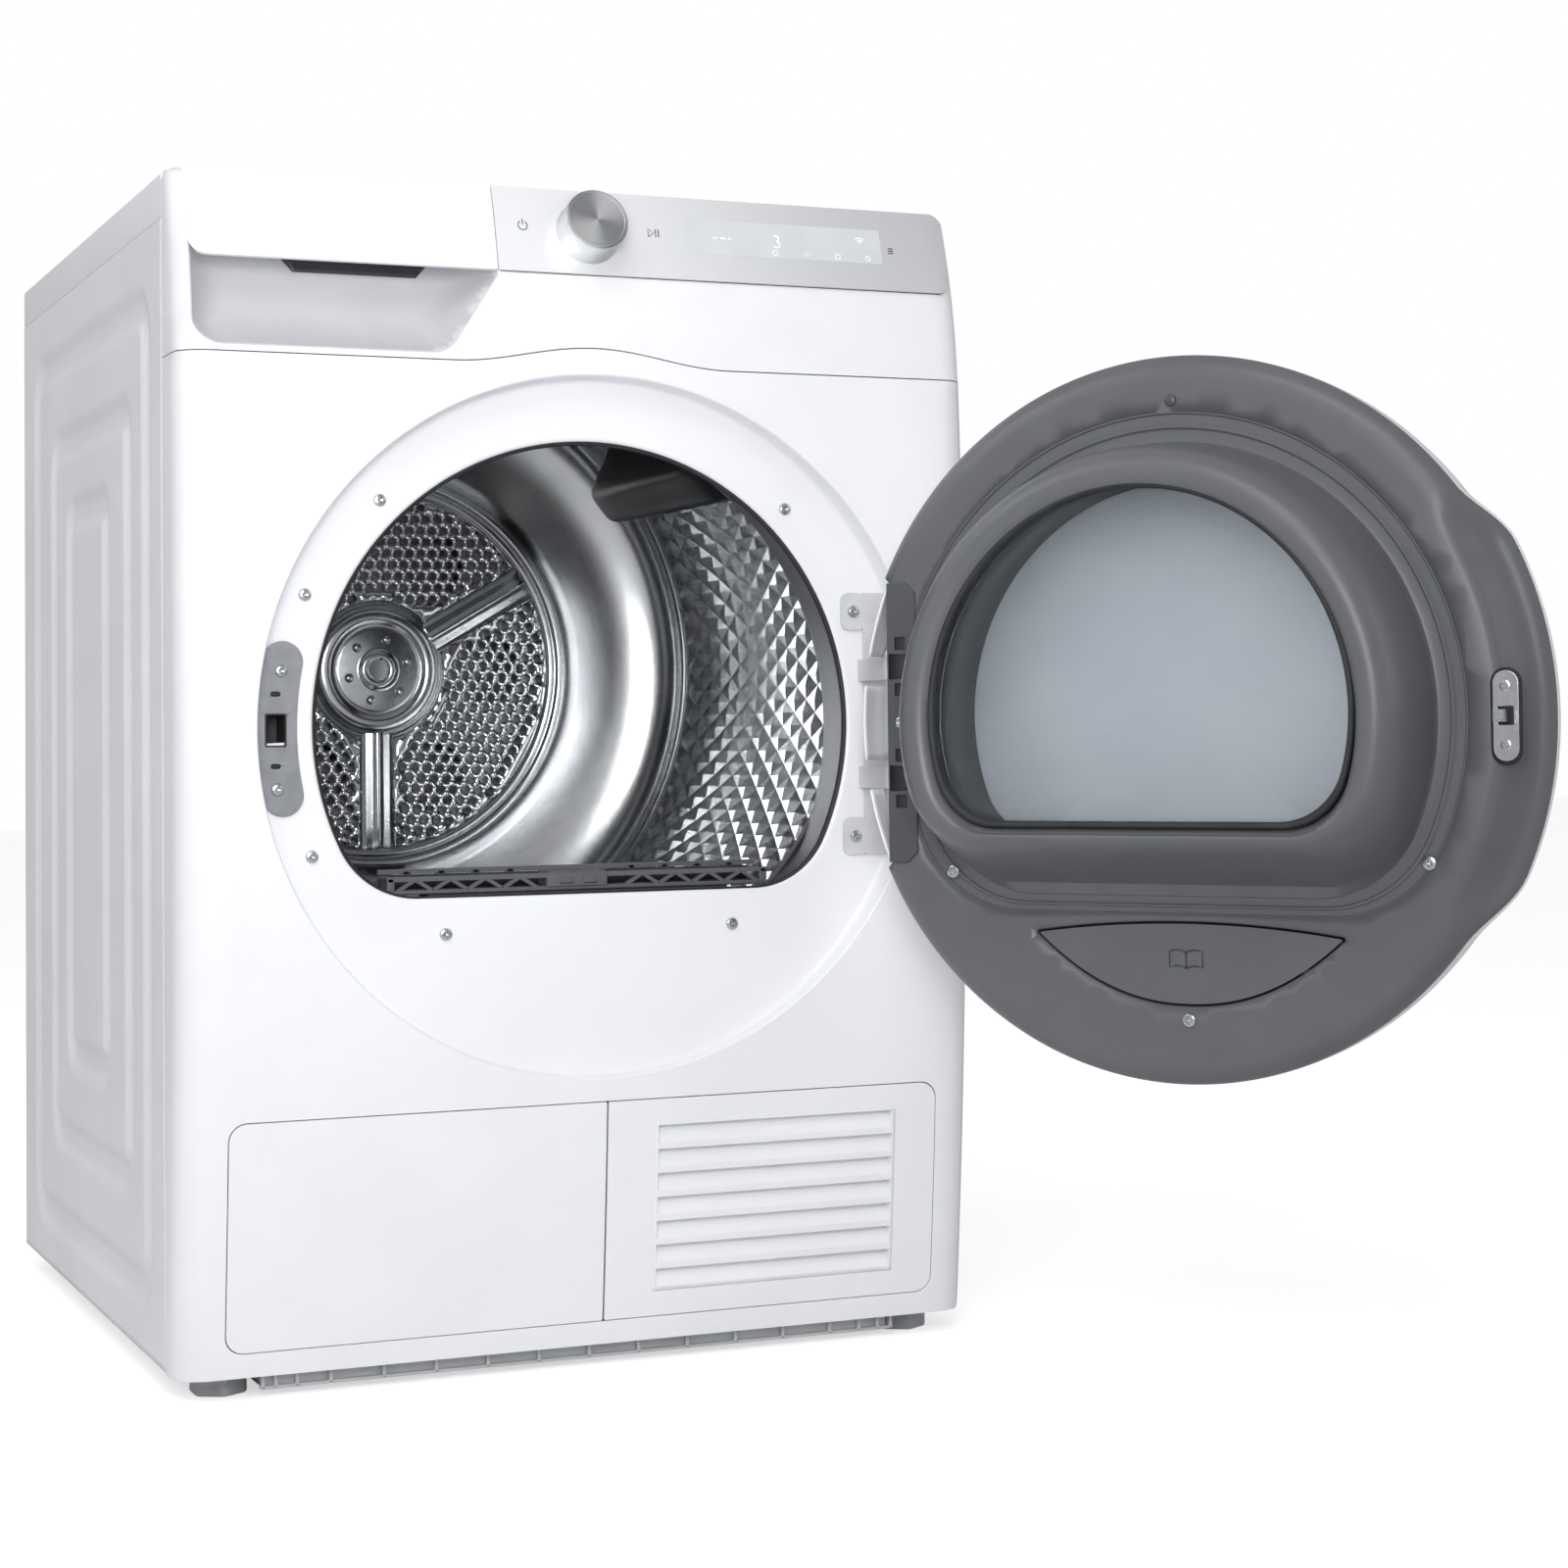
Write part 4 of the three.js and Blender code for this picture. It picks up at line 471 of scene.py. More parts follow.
# Stamped and phosphated steel of the lock plate, dull grey.
PHOSPHATED = surfaced("phosphated_steel_plate", "#8b8d91", "#828488", 14, 1.0, 0.003, 0.42, 0.05,
                      Metallic=0.3)
# Stamped steel of the hinge plate, coated like the front and a shade greyer.
LIGHT_PLATE = surfaced("coated_steel_hinge_plate", "#cfd0d3", "#c9cacd", 20, 1.2, 0.003, 0.36, 0.04)
# Grey polypropylene of the base pan and polyamide of the feet, slightly rough.
PAN = surfaced("grey_moulded_polypropylene_base", "#cbcdd0", "#c4c6c9", 50, 1.2, 0.008, 0.5, 0.05)
FOOT = surfaced("grey_polyamide_foot", "#b6b8bb", "#a6a8ab", 18, 1.0, 0.008, 0.5, 0.06)
# Aluminium fins on copper tubes, seen edge on.
FINS = surfaced("aluminium_fin_pack", "#b9bcbe", "#a5a8ab", 12, 1.6, 0.010, 0.38, 0.07, stretch=(4, 1, 0.2),
                Metallic=0.8)
# Black stoving paint of the compressor's shell, with a light orange peel.
STOVED = surfaced("black_stoving_paint", "#2e3033", "#27292c", 60, 2.5, 0.010, 0.32, 0.05, Coat_Weight=0.3)
# Cast and painted motor case.
CAST = surfaced("painted_cast_aluminium", "#8d9094", "#7d8084", 25, 1.6, 0.015, 0.5, 0.07, Metallic=0.4)


def lacquer_with_painted_highlight(name, light, deep, x0, x1):
    """Silver lacquer with a painted highlight: lightest at x0 and fading to a deeper grey at x1, with flakes 0.8 mm
    apart.
    """
    material, tree, shader, place = start(name, Metallic=0.2, Coat_Weight=0.25, Coat_Roughness=0.12)
    part = add(tree, "ShaderNodeSeparateXYZ", {"Vector": place})
    share = add(tree, "ShaderNodeMapRange",
                {"Value": part.outputs["X"], "From Min": x0 / 1000, "From Max": x1 / 1000},
                interpolation_type="SMOOTHSTEP")
    tone = add(tree, "ShaderNodeValToRGB", {"Fac": share.outputs[0]})
    tone.color_ramp.elements[0].color, tone.color_ramp.elements[1].color = linear(light), linear(deep)
    tree.links.new(tone.outputs["Color"], shader.inputs["Base Color"])
    flakes = add(tree, "ShaderNodeTexNoise", {"Vector": place, "Scale": 1000 / 0.8, "Detail": 2.0})
    sheen = add(tree, "ShaderNodeMapRange", {"Value": flakes.outputs["Fac"], "To Min": 0.28, "To Max": 0.4})
    tree.links.new(sheen.outputs[0], shader.inputs["Roughness"])
    bump = add(tree, "ShaderNodeBump", {"Height": flakes.outputs["Fac"], "Strength": 1.0, "Distance": 2e-6})
    tree.links.new(bump.outputs[0], shader.inputs["Normal"])
    return material


# Silver lacquer on moulded ABS: fine metal flakes give a satin grey. A painted highlight makes its left end lightest,
# fading to the right.
SILVER = lacquer_with_painted_highlight("silver_lacquered_abs_painted_highlight", "#eff0f3", "#cacbcf", -70, 290)


def glass(name, colour, rough):
    """Float glass: clear, tinted by its own colour, with a very slow ripple of the surface every 60 mm."""
    material, tree, shader, place = start(name, Transmission_Weight=1.0, IOR=1.45, Base_Color=linear(colour),
                                          Roughness=rough)
    slow = add(tree, "ShaderNodeTexNoise", {"Vector": place, "Scale": 1000 / 60, "Detail": 1.0})
    bump = add(tree, "ShaderNodeBump", {"Height": slow.outputs["Fac"], "Strength": 1.0, "Distance": 1e-5})
    tree.links.new(bump.outputs[0], shader.inputs["Normal"])
    return material


# Toughened glass dish of the door, clear; and the tinted acrylic sheet on the door's outside.
CLEAR_GLASS = glass("toughened_glass_dish", "#fafcfd", 0.0)
TINTED_PANE = glass("tinted_acrylic_pane", "#dfe5ec", 0.02)


def spun(name):
    """Spun aluminium: brushing runs round the axis, so the highlight spreads into two opposite fans, and two bright
    fans are also painted into its colour as a painted highlight.

    The piece's own map has the angle round the dial as u and the radius as v. The sine of twice the angle
    draws the painted highlight fans in the base colour.
    """
    material, tree, shader, _ = start(name, Metallic=1.0, Anisotropic=0.5)
    map_ = add(tree, "ShaderNodeUVMap", uv_map="turning")
    part = add(tree, "ShaderNodeSeparateXYZ", {"Vector": map_.outputs[0]})
    turn = add(tree, "ShaderNodeMath", {0: part.outputs["X"], 1: 4 * math.pi}, operation="MULTIPLY")
    wave = add(tree, "ShaderNodeMath", {0: turn.outputs[0]}, operation="SINE")
    painted_highlight_fan = add(tree, "ShaderNodeMapRange", {"Value": wave.outputs[0], "From Min": -1.0, "From Max": 1.0},
              interpolation_type="SMOOTHSTEP")
    tone = add(tree, "ShaderNodeValToRGB", {"Fac": painted_highlight_fan.outputs[0]})
    tone.color_ramp.elements[0].color = linear("#a9abaf")
    tone.color_ramp.elements[1].color = linear("#eceded")
    tree.links.new(tone.outputs["Color"], shader.inputs["Base Color"])
    stretched = add(tree, "ShaderNodeMapping", {"Vector": map_.outputs[0], "Scale": (3, 90, 1)})
    lines = add(tree, "ShaderNodeTexNoise", {"Vector": stretched.outputs[0], "Scale": 1.0, "Detail": 3.0})
    sheen = add(tree, "ShaderNodeMapRange", {"Value": lines.outputs["Fac"], "To Min": 0.22, "To Max": 0.42})
    tree.links.new(sheen.outputs[0], shader.inputs["Roughness"])
    bump = add(tree, "ShaderNodeBump", {"Height": lines.outputs["Fac"], "Strength": 1.0, "Distance": 6e-6})
    tree.links.new(bump.outputs[0], shader.inputs["Normal"])
    tangent = add(tree, "ShaderNodeTangent", direction_type="UV_MAP", uv_map="turning")
    tree.links.new(tangent.outputs[0], shader.inputs["Tangent"])
    return material


# Spun aluminium of the dial: two bright fans of painted highlight in its colour that turn with it.
SPUN = spun("spun_aluminium")


# ---------------------------------------------------------------- small hardware
def screw_head(centre, axis, r=4.6, height=2.2):
    """A pan head: a quarter round over a disc, sunk by a cross of two slots crossing at its middle."""
    w = np.asarray(axis, float) / np.linalg.norm(axis)
    u = np.cross(w, (0, 0, 1) if abs(w[2]) < 0.9 else (1, 0, 0))
    u /= np.linalg.norm(u)
    v = np.cross(w, u)
    radii = r * np.array([0, 0.07, 0.14, 0.24, 0.36, 0.46, 0.52, 0.7, 0.86, 0.96, 1, 1])
    level = height * np.array([1, 1, 1, 1, 1, 1, 0.99, 0.94, 0.8, 0.5, 0.2, 0])
    a = np.linspace(0, 2 * np.pi, 32, endpoint=False) + np.pi / 32
    across = np.minimum(np.abs(np.cos(a)), np.abs(np.sin(a)))[None] * radii[:, None]
    sunk = (across < 0.15 * r) & (radii[:, None] < 0.5 * r)
    h = level[:, None] - 0.7 * height * sunk * (1 - radii[:, None] / r)
    spoke = np.cos(a)[:, None] * u + np.sin(a)[:, None] * v
    grid = np.asarray(centre, float) + radii[:, None, None] * spoke + h[..., None] * w
    return facing(skin(grid, around=True), towards=w)


def ribbon(line, width, closed=False):
    """A strip along a line in the plane: each point moved half the width to either side, square to the line."""
    line = np.asarray(line, float)
    if closed:
        way = np.roll(line, -1, 0) - np.roll(line, 1, 0)
    else:
        way = np.gradient(line, axis=0)
    side = np.column_stack([-way[:, 1], way[:, 0]]) / np.hypot(*way.T)[:, None]
    return np.stack([line - side * width / 2, line + side * width / 2], 1)


def front_marks(lines, out):
    """Printed strokes (points, width, closed) laid on the front, standing out of it."""
    shapes = []
    for line, width, closed in lines:
        strip = ribbon(line, width, closed)
        grid = on_front(unroll(strip[..., 0]), strip[..., 1], out)
        shapes.append(facing(skin(grid, along=closed), towards=(0, -1, 0)))
    return joined(*shapes)


# ---------------------------------------------------------------- front panel and pressed ring
def make_front():
    """The skin of the front with its round and lower holes, and the ring pressed back around the opening."""
    corner = 9
    s = np.linspace(END_S, -END_S, 160)
    outline = np.vstack([
        arc(-END_S + corner, FRONT_BOTTOM_Z + corner, corner, 180, 270, 5),
        arc(END_S - corner, FRONT_BOTTOM_Z + corner, corner, 270, 360, 5),
        np.column_stack([s, split_z(s) - GAP]),
    ])
    hole = arc(RING_X, DOOR_Z, RING_R + 2, 0, 360, 180)[:-1]
    lower = rounded_rect(*LOWER_X, *LOWER_Z, 13)
    build("front_panel_skin", front_sheet(outline, (hole, lower), 13), ENAMEL,
          stands_for=("front_panel",), thick=1.2, bevel=0.5)

    a = np.linspace(0, 2 * np.pi, 300, endpoint=False)
    opening = d_outline(0, OPENING_Z, OPENING_R, OPENING_FLAT, OPENING_FILLET)
    opening = polar(opening, (RING_X, DOOR_Z), a)
    rows = []
    for r, sunk in ((RING_R + 2.2, 0.02), (RING_R + 1.2, 0.35), (RING_R + 0.35, 1.2), (RING_R, 2.4)):
        rows.append(about_door(a, r, front_y(DOOR_Z + r * np.sin(a)) + sunk))
    for r, y in ((RING_R, -3.2), (RING_R - 0.7, -1.2), (RING_R - 2, -0.3), (RING_R - 4, 0)):
        rows.append(about_door(a, r, FLOOR_Y + y))
    share = np.linspace(0, 1, 9)[1:-1, None]
    rows += [about_door(a, r, FLOOR_Y) for r in (RING_R - 4) * (1 - share) + (opening + 9) * share]
    for more, y in ((9, 0), (4, 0), (2, 0.3), (0.6, 1.4), (0, 3.2), (0, 6)):
        rows.append(about_door(a, opening + more, FLOOR_Y + y))
    points, parts = facing(skin(np.array(rows), around=True), towards=OUT)
    centres = [points[faces].mean(axis=1) for faces in parts]
    cut = [(np.abs(c[:, 0] - LATCH_X) < 11) & (np.abs(c[:, 2] - DOOR_Z + 1) < 9.5) for c in centres]
    build("pressed_door_ring", (points, [faces[~gone] for faces, gone in zip(parts, cut)]), ENAMEL,
          thick=1.0, crease=60)

    places = [(-155, 615), (155, 615), (-209, 548), (-205, 366), (-109, 309), (109, 309)]
    heads = [screw_head((x, FLOOR_Y, z), OUT) for x, z in places]
    build("ring_screws", joined(*heads), PLATED, crease=30)


def polar(outline, centre, angles):
    """Distance from a centre to a star-shaped outline in each direction, by interpolation along its edge."""
    d = densify(outline, 2.0) - np.asarray(centre)
    at = np.arctan2(d[:, 1], d[:, 0]) % (2 * np.pi)
    order = np.argsort(at)
    return np.interp(angles, at[order], np.hypot(*d.T)[order], period=2 * np.pi)


def make_lower_panels():
    """The flap, and the grille whose louvres step in at their top and slope out again to the surface."""
    edge = 0.7
    low, high = LOWER_Z[0] + edge, LOWER_Z[1] - edge
    left = rounded_rect(LOWER_X[0] + edge, LOWER_SPLIT - edge, low, high, (1, 1, 12.5, 12.5))
    build("access_flap_skin", front_sheet(left, (), 13), ENAMEL, "flap", ("access_flap",),
          thick=2.5, bevel=0.7)
    right = rounded_rect(LOWER_SPLIT + edge, LOWER_X[1] - edge, low, high, (12.5, 12.5, 1, 1))
    x0, x1, z0, z1 = 44.0, 235.0, 46.0, 168.0
    window = rounded_rect(x0, x1, z0, z1, 0.2, 1)
    build("grille_frame", front_sheet(right, (window,), 13), ENAMEL, "cabinet", ("louvre_grille",),
          thick=2.5, bevel=0.5)
    louvres, pitch, first_head = 7, 17.4, 62.0
    levels, depths = [z0], [0.0]
    for i in range(louvres):
        head = first_head + pitch * i
        levels += [head - 12.5, head - 12.0, head - 8, head - 4, head, head + 0.35]
        depths += [0, 0.25, 2.6, 4.9, 7.2, 0]
    levels.append(z1)
    depths.append(0)
    xs = np.concatenate([[x0, 46.2], np.linspace(47, 232, 38), [232.8, x1]])
    gate = np.concatenate([[0, 0], np.ones(38), [0, 0]])
    x, z = np.meshgrid(xs, levels)
    grid = on_front(x, z)
    grid[..., 1] += np.array(depths)[:, None] * gate[None]
    build("grille_louvres", facing(skin(grid), towards=OUT), ENAMEL, thick=1.2,
          crease=25)


# ---------------------------------------------------------------- console
def recess_line(grow, top):
    """Outline of the hand recess: round lower left corner, level bottom, and a slope up to the right."""
    bottom = SPLIT_Z + 5 - grow
    left, right = FASCIA_LEFT - grow, -70.5 + grow
    line = np.vstack([
        [[left, top]], arc(FASCIA_LEFT + 20, bottom + 20 + grow, 20 + grow, 180, 270, 10),
        arc(-121, bottom + 22 + grow, 22 + grow, 270, 322, 8), [[right, STRIP_Z - 4], [right, top]],
    ])
    return to_front(line)


def make_console():
    """The console's shell with a notch for the drawer, folded over the top edge in an arc."""
    r = 2.0
    fold = TOP_Z - r
    back = fold + r * math.pi / 2
    end = back + 24

    s = np.linspace(-END_S, END_S, 160)
    bottom = np.column_stack([s, split_z(s) + GAP])
    notch = recess_line(0.6, end)
    outline = np.vstack([bottom, [[END_S, end]], notch[::-1], [[-END_S, end]]])
    flat, tris = sheet(outline, (), 10)
    s, v = flat.T
    turn = np.clip((v - fold) / r, 0, np.pi / 2)
    points = on_front(s, np.minimum(v, fold) + r * np.sin(turn), -r * (1 - np.cos(turn)))
    far = np.clip((v - back) / (end - back), 0, 1)
    points[:, 1] += far * (JOINT_Y - GAP - points[:, 1])
    build("console_shell", facing((points, [tris]), towards=OUT), CONSOLE, stands_for=("console_panel",),
          thick=2.0, bevel=0.5)
    make_recess()
    make_strips()


def make_recess():
    """The scooped hand recess under the drawer's fascia, and a black sheet of painted shade where the gap that the
    fingers reach into lies in shadow.
    """
    dense = densify(recess_line(0, STRIP_Z + 40), 2.0)
    wall = dense[dense[:, 1] < STRIP_Z + 39]

    def scoop(s, z):
        """Depth of the scooped recess: a smooth step of the distance from its sides and bottom."""
        t = np.clip(nearest(np.column_stack([s, z]), wall) / 30, 0, 1)
        return 1.0 + 36 * (1 - (1 - t) ** 2.4)

    build("hand_recess", front_sheet(recess_line(0, STRIP_Z + 16), (), 4, 0, scoop), RECESS, "tank_drawer",
          thick=1.5, crease=60)
    # The black sheet over the recess's upper part is painted shade for the dark gap under the fascia.
    low, high = STRIP_Z - 3.5, STRIP_Z + 15
    shaded_gap_line = np.array([[-226, high], [-210, low], [-120, low], [-104, high]])
    gap = front_sheet(shaded_gap_line, (), 5, 0, lambda s, z: scoop(s, z) - 1.2)
    build("recess_gap_painted_shade", gap, DARK, "tank_drawer", thick=0.6, crease=60)


def make_strips():
    """The drawer's fascia, the silver overlay with its gasket, and the display's window."""
    fascia = rounded_rect(unroll(FASCIA_LEFT), unroll(FASCIA_RIGHT), STRIP_Z, TOP_Z - 0.6, (1.5, 2, 2, 13))
    build("drawer_fascia", front_sheet(fascia, (), 8, OVERLAY), GLOSS, "tank_drawer", ("tank_drawer_front",),
          thick=3.4, bevel=1.1, segments=3)
    right = unroll(OVERLAY_RIGHT)
    strip = rounded_rect(OVERLAY_LEFT, right, STRIP_Z, TOP_Z - 0.9, (9, 9, 1, 1))
    build("overlay_strip", front_sheet(strip, (), 8, OVERLAY), SILVER, stands_for=("console_overlay",),
          thick=2.4, bevel=0.8, segments=3)
    lip = rounded_rect(OVERLAY_LEFT + 1, right + 0.7, STRIP_Z - 0.9, TOP_Z - 1.2, (9.6, 9.6, 1, 1))
    build("overlay_gasket", front_sheet(lip, (), 10, 0.35), RUBBER, thick=0.4)
    window = rounded_rect(*DISPLAY_X, *DISPLAY_Z, 1.2, 4)
    build("display_glass", front_sheet(window, (), 8, OVERLAY + 0.25), ACRYLIC, stands_for=("display_window",),
          thick=0.6, bevel=0.2)


def ring_line(u, v, r, start=0, end=360, steps=28):
    """A round stroke."""
    line = arc(u, v, r, start, end, steps)
    return line[:-1] if end - start == 360 else line


def make_marks():
    """Generic symbols printed on the overlay and lit in the display."""
    bars = [
        (ring_line(-49, 815, 3.4, 120, 420), 0.7, False), ([[-49, 815.6], [-49, 819.8]], 0.7, False),
        ([[47.2, 812], [47.2, 818], [51.6, 815], [47.2, 812]], 0.6, False),
        ([[53, 812], [53, 818]], 0.8, False), ([[55.2, 812], [55.2, 818]], 0.8, False),
    ]
    bars += [([[240.6, z], [244.8, z]], 0.8, False) for z in (810.4, 812.2, 814.0)]
    build("overlay_symbols", front_marks(bars, OVERLAY + 0.12), INK, thick=0.1, crease=60)
    three = np.vstack([arc(149, 816.6, 2.2, 150, -80, 14), arc(149, 811.9, 2.5, 80, -150, 14)])
    lit = [(three, 0.9, False)]
    lit += [(ring_line(218, 816, r, 45, 135, 10), 0.7, False) for r in (1.4, 3.2, 5.0)]
    lit += [([[x, 814.2], [x + w, 814.2]], 0.9, False) for x, w in ((98, 4.5), (103.8, 5), (110, 3))]
    z = 805.2
    ramp = np.array([[170.8, z - 1.4], [172.3, z + 1.4], [173.7, z - 1.4], [175.2, z + 1.4]])
    lit += [
        (ring_line(147, z, 1.9), 0.5, True), (ramp, 0.5, False),
        (rounded_rect(196, 200, z - 1.6, z + 1.6, 0.5, 2), 0.5, True),
        (ring_line(223, z, 1.9, 60, 390), 0.5, False), ([[223, z], [224.2, z + 0.8]], 0.5, False),
    ]
    build("display_symbols", front_marks(lit, OVERLAY + 0.36), WHITE_INK, thick=0.08,
          crease=60)


KNOB_R = 24.0
DIAL_BASE = np.array([0, -324.6, 811.7])
DIAL_AXIS = np.array([0, -0.96029, 0.27900])
DIAL_UP = np.array([0, 0.27900, 0.96029])


def make_dial():
    """The dial: skirt, rounded rim and a face dished by half a millimetre, turned about its tilted axis."""
    profile = [
        (5, -0.6), (KNOB_R, -0.6), (24.2, 0.2), (KNOB_R, 1.0), (23.7, 12), (23.4, 22.6), (23.0, 24.0),
        (22.2, 24.8), (21.0, 25.0), (20.3, 24.8), (19.8, 24.3), (12, 24.1), (0.01, 24.0),
    ]
    shape = facing(turned(profile, DIAL_BASE, DIAL_AXIS, 96), inward=DIAL_BASE - DIAL_AXIS * 400)
    piece = build("dial", shape, SPUN, "dial", ("dial_knob",), crease=28)
    map_turning(piece.data)


def map_turning(mesh):
    """The dial's own map: u is the angle about its axis as a share of a turn, v the radius over the knob's.

    A face that spans the start of the turn has its low angles raised by one, so that u runs on without a jump.
    """
    layer = mesh.uv_layers.new(name="turning")
    at = np.empty(len(mesh.vertices) * 3)
    mesh.vertices.foreach_get("co", at)
    own = np.empty(len(mesh.loops), int)
    mesh.loops.foreach_get("vertex_index", own)
    size = np.empty(len(mesh.polygons), int)
    mesh.polygons.foreach_get("loop_total", size)
    face = np.repeat(np.arange(len(size)), size)
    p = (at.reshape(-1, 3) * 1000 - DIAL_BASE)[own]
    angle = np.arctan2(p @ DIAL_UP, p[:, 0]) / (2 * np.pi) % 1
    low = np.ones(len(size))
    np.minimum.at(low, face, angle)
    high = np.zeros(len(size))
    np.maximum.at(high, face, angle)
    angle += (angle < 0.5) & ((high - low) > 0.5)[face]
    radius = np.hypot(p @ DIAL_UP, p[:, 0]) / KNOB_R
    layer.data.foreach_set("uv", np.column_stack([angle, radius]).ravel())


# ---------------------------------------------------------------- cabinet
def rect_distance(u, v, u0, u1, v0, v1, r):
    """Signed distance to a rounded rectangle, negative inside."""
    du = np.abs(u - (u0 + u1) / 2) - (u1 - u0) / 2 + r
    dv = np.abs(v - (v0 + v1) / 2) - (v1 - v0) / 2 + r
    return np.hypot(np.maximum(du, 0), np.maximum(dv, 0)) + np.minimum(np.maximum(du, dv), 0) - r


def smooth(t):
    """The smooth step 3t^2 - 2t^3 between 0 and 1."""
    t = np.clip(t, 0, 1)
    return t * t * (3 - 2 * t)


# Nested grooves of a side sheet: front, rear, bottom and top limits, and corner radius.
GROOVES = ((-241, 255, 42, 776, 46), (-173, 172, 113, 706, 38), (-86, 101, 183, 646, 32))
GROOVE_DEPTH, GROOVE_SLOPE, GROOVE_WIDTH = 4.2, 9, 31


def make_side(side, name):
    """A side sheet: a height field with three nested grooves, each a smooth step down and up again."""
    y = np.linspace(JOINT_Y + GAP, SIDE_REAR_Y, 132)
    z = np.linspace(SIDE_BOTTOM_Z, SIDE_TOP_Z, 170)
    y, z = np.meshgrid(y, z)
    depth = np.zeros(y.shape)
    for y0, y1, z0, z1, r in GROOVES:
        into = -rect_distance(y, z, y0, y1, z0, z1, r)
        depth += GROOVE_DEPTH * smooth(into / GROOVE_SLOPE) * smooth((GROOVE_WIDTH - into) / GROOVE_SLOPE)
    grid = np.stack([side * (HALF_W - depth), y, z], -1)
    build("side_sheet_" + name, facing(skin(grid), towards=(side, 0, 0)), SIDE_ENAMEL,
          stands_for=("side_panel_" + name,), thick=1.2, crease=50)


def make_top():
    """The worktop: a rounded rectangle carried up, rolled over at its upper edge and closed flat."""
    rows = []
    for inset, z in ((1.6, COVER_Z), (0.5, COVER_Z + 0.4), (0, COVER_Z + 1.4), (0, TOP_Z - 3),
                     (0.35, TOP_Z - 1.5), (1.3, TOP_Z - 0.4), (2.8, TOP_Z)):
        front = JOINT_Y + GAP + min(inset, 0.6)
        line = rounded_rect(-HALF_W + inset, HALF_W - inset, front, COVER_REAR_Y - inset, (1, 10, 10, 1), 8)
        rows.append(np.column_stack([line, np.full(len(line), z)]))
    build("worktop", facing(tube(rows)), ENAMEL, stands_for=("top_cover",), crease=35)


def make_plinth():
    """Upright ribs along the front of the base pan, and the feet as rounded six-sided blocks."""
    xs = [-238, -229, -214, -190, -152, -114, -76, -38, 0, 38, 76, 114, 152, 190, 214, 229, 240]
    depth = (PAN_FRONT_Y - 4, PAN_FRONT_Y + 0.5)
    ribs = [facing(block((x - 1.3, x + 1.3), depth, (0.6, 10.4), 0.5)) for x in xs]
    rail = facing(block((-240, 242), depth, (0.2, 2.4), 0.6))
    build("plinth_ribs", joined(*ribs, rail), PAN, crease=30)
    a = np.linspace(0, 2 * np.pi, 96, endpoint=False)
    flats = 18.2 / np.cos((a + np.pi / 6) % (np.pi / 3) - np.pi / 6)
    r = np.minimum(flats, 20.2)
    levels = ((0.93, FLOOR_Z), (0.99, FLOOR_Z + 0.8), (1, FLOOR_Z + 2), (1, 6.5), (0.97, 8.2), (0.9, 9),
              (0.3, 9.2), (0.27, 12), (0.27, 40))
    for place in ("front_left", "front_right", "rear_left", "rear_right"):
        node = "foot_" + place
        x, y = middle(node, 0), middle(node, 1)
        rows = [np.column_stack([x + k * r * np.cos(a), y + k * r * np.sin(a), np.full(a.shape, z)])
                for k, z in levels]
        build("levelling_" + node, facing(tube(rows)), FOOT, "levelling_" + node, (node,), crease=32)


# ---------------------------------------------------------------- opening, seal and bulkhead
OPENING_ANGLES = np.linspace(0, 2 * np.pi, 240, endpoint=False)


def opening_ring(outline, y):
    """A loop of an outline at depth y, with its points at even angles about the opening's centre."""
    a = OPENING_ANGLES
    r = polar(outline, (0.0, OPENING_Z), a)
    return np.column_stack([r * np.cos(a), np.full(a.shape, y), OPENING_Z + r * np.sin(a)])


def d_ring(y, grow):
    """A loop of the opening's outline at depth y, widened by grow."""
    line = d_outline(0, OPENING_Z, OPENING_R + grow, OPENING_FLAT + grow * 0.4, OPENING_FILLET + grow * 0.4)
    return opening_ring(line, y)


def circle_ring(y, radius):
    """A loop of the circle about the drum's axis, with its points at the same angles as the opening's."""
    return opening_ring(arc(0, DRUM_Z, radius, 0, 360, 240)[:-1], y)


def make_opening():
    """The rubber seal, and the bulkhead's tunnel that widens towards the drum and ends in a round stub."""
    seal = [d_ring(y, g) for y, g in (
        (-319.3, 2.6), (-319.6, 0.8), (-319.0, -1.2), (-317.6, -2.4), (-316.2, -2.2), (-315.8, 0), (-316.0, 3.4))]
    build("opening_seal", facing(skin(np.array(seal), around=True, along=True)), RUBBER,
          stands_for=("door_seal",), crease=60)

    stub_end, stub_r, flange_r, sheet_back = DRUM_FRONT_Y + 16, 257, 287, BULKHEAD_Y + 4

    def widened(y):
        """How far the tunnel is wider than the opening at depth y: 28 mm more at the stub's end."""
        return 1 + 28 * (y - FLOOR_Y) / (stub_end - FLOOR_Y)

    rim, lip = circle_ring(BULKHEAD_Y, flange_r), d_ring(BULKHEAD_Y, widened(BULKHEAD_Y))
    rows = [circle_ring(sheet_back, flange_r)]
    rows += [rim + (lip - rim) * t for t in np.linspace(0, 1, 10)[:-1]]
    rows += [d_ring(y, widened(y)) for y in np.linspace(BULKHEAD_Y, stub_end - 4, 9)]
    rows += [d_ring(stub_end - 1.4, 30.4), d_ring(stub_end, 33.5)]
    rows += [circle_ring(stub_end, 254), circle_ring(stub_end - 1, 256.6)]
    rows += [circle_ring(y, stub_r) for y in np.linspace(stub_end - 4, sheet_back, 9)]
    points, parts = facing(skin(np.array(rows), around=True, along=True))
    kept = []
    for faces in parts:
        centre = points[faces].mean(axis=1)
        drawer = (centre[:, 0] < -50) & (centre[:, 1] < -262) & (centre[:, 2] > 698)
        socket = (np.abs(centre[:, 0] - LATCH_X) < 15) & (np.abs(centre[:, 2] - DOOR_Z) < 16)
        kept.append(faces[~(drawer | socket)])
    build("bulkhead_tunnel", (points, kept), DARK, stands_for=("front_bulkhead",), crease=40)


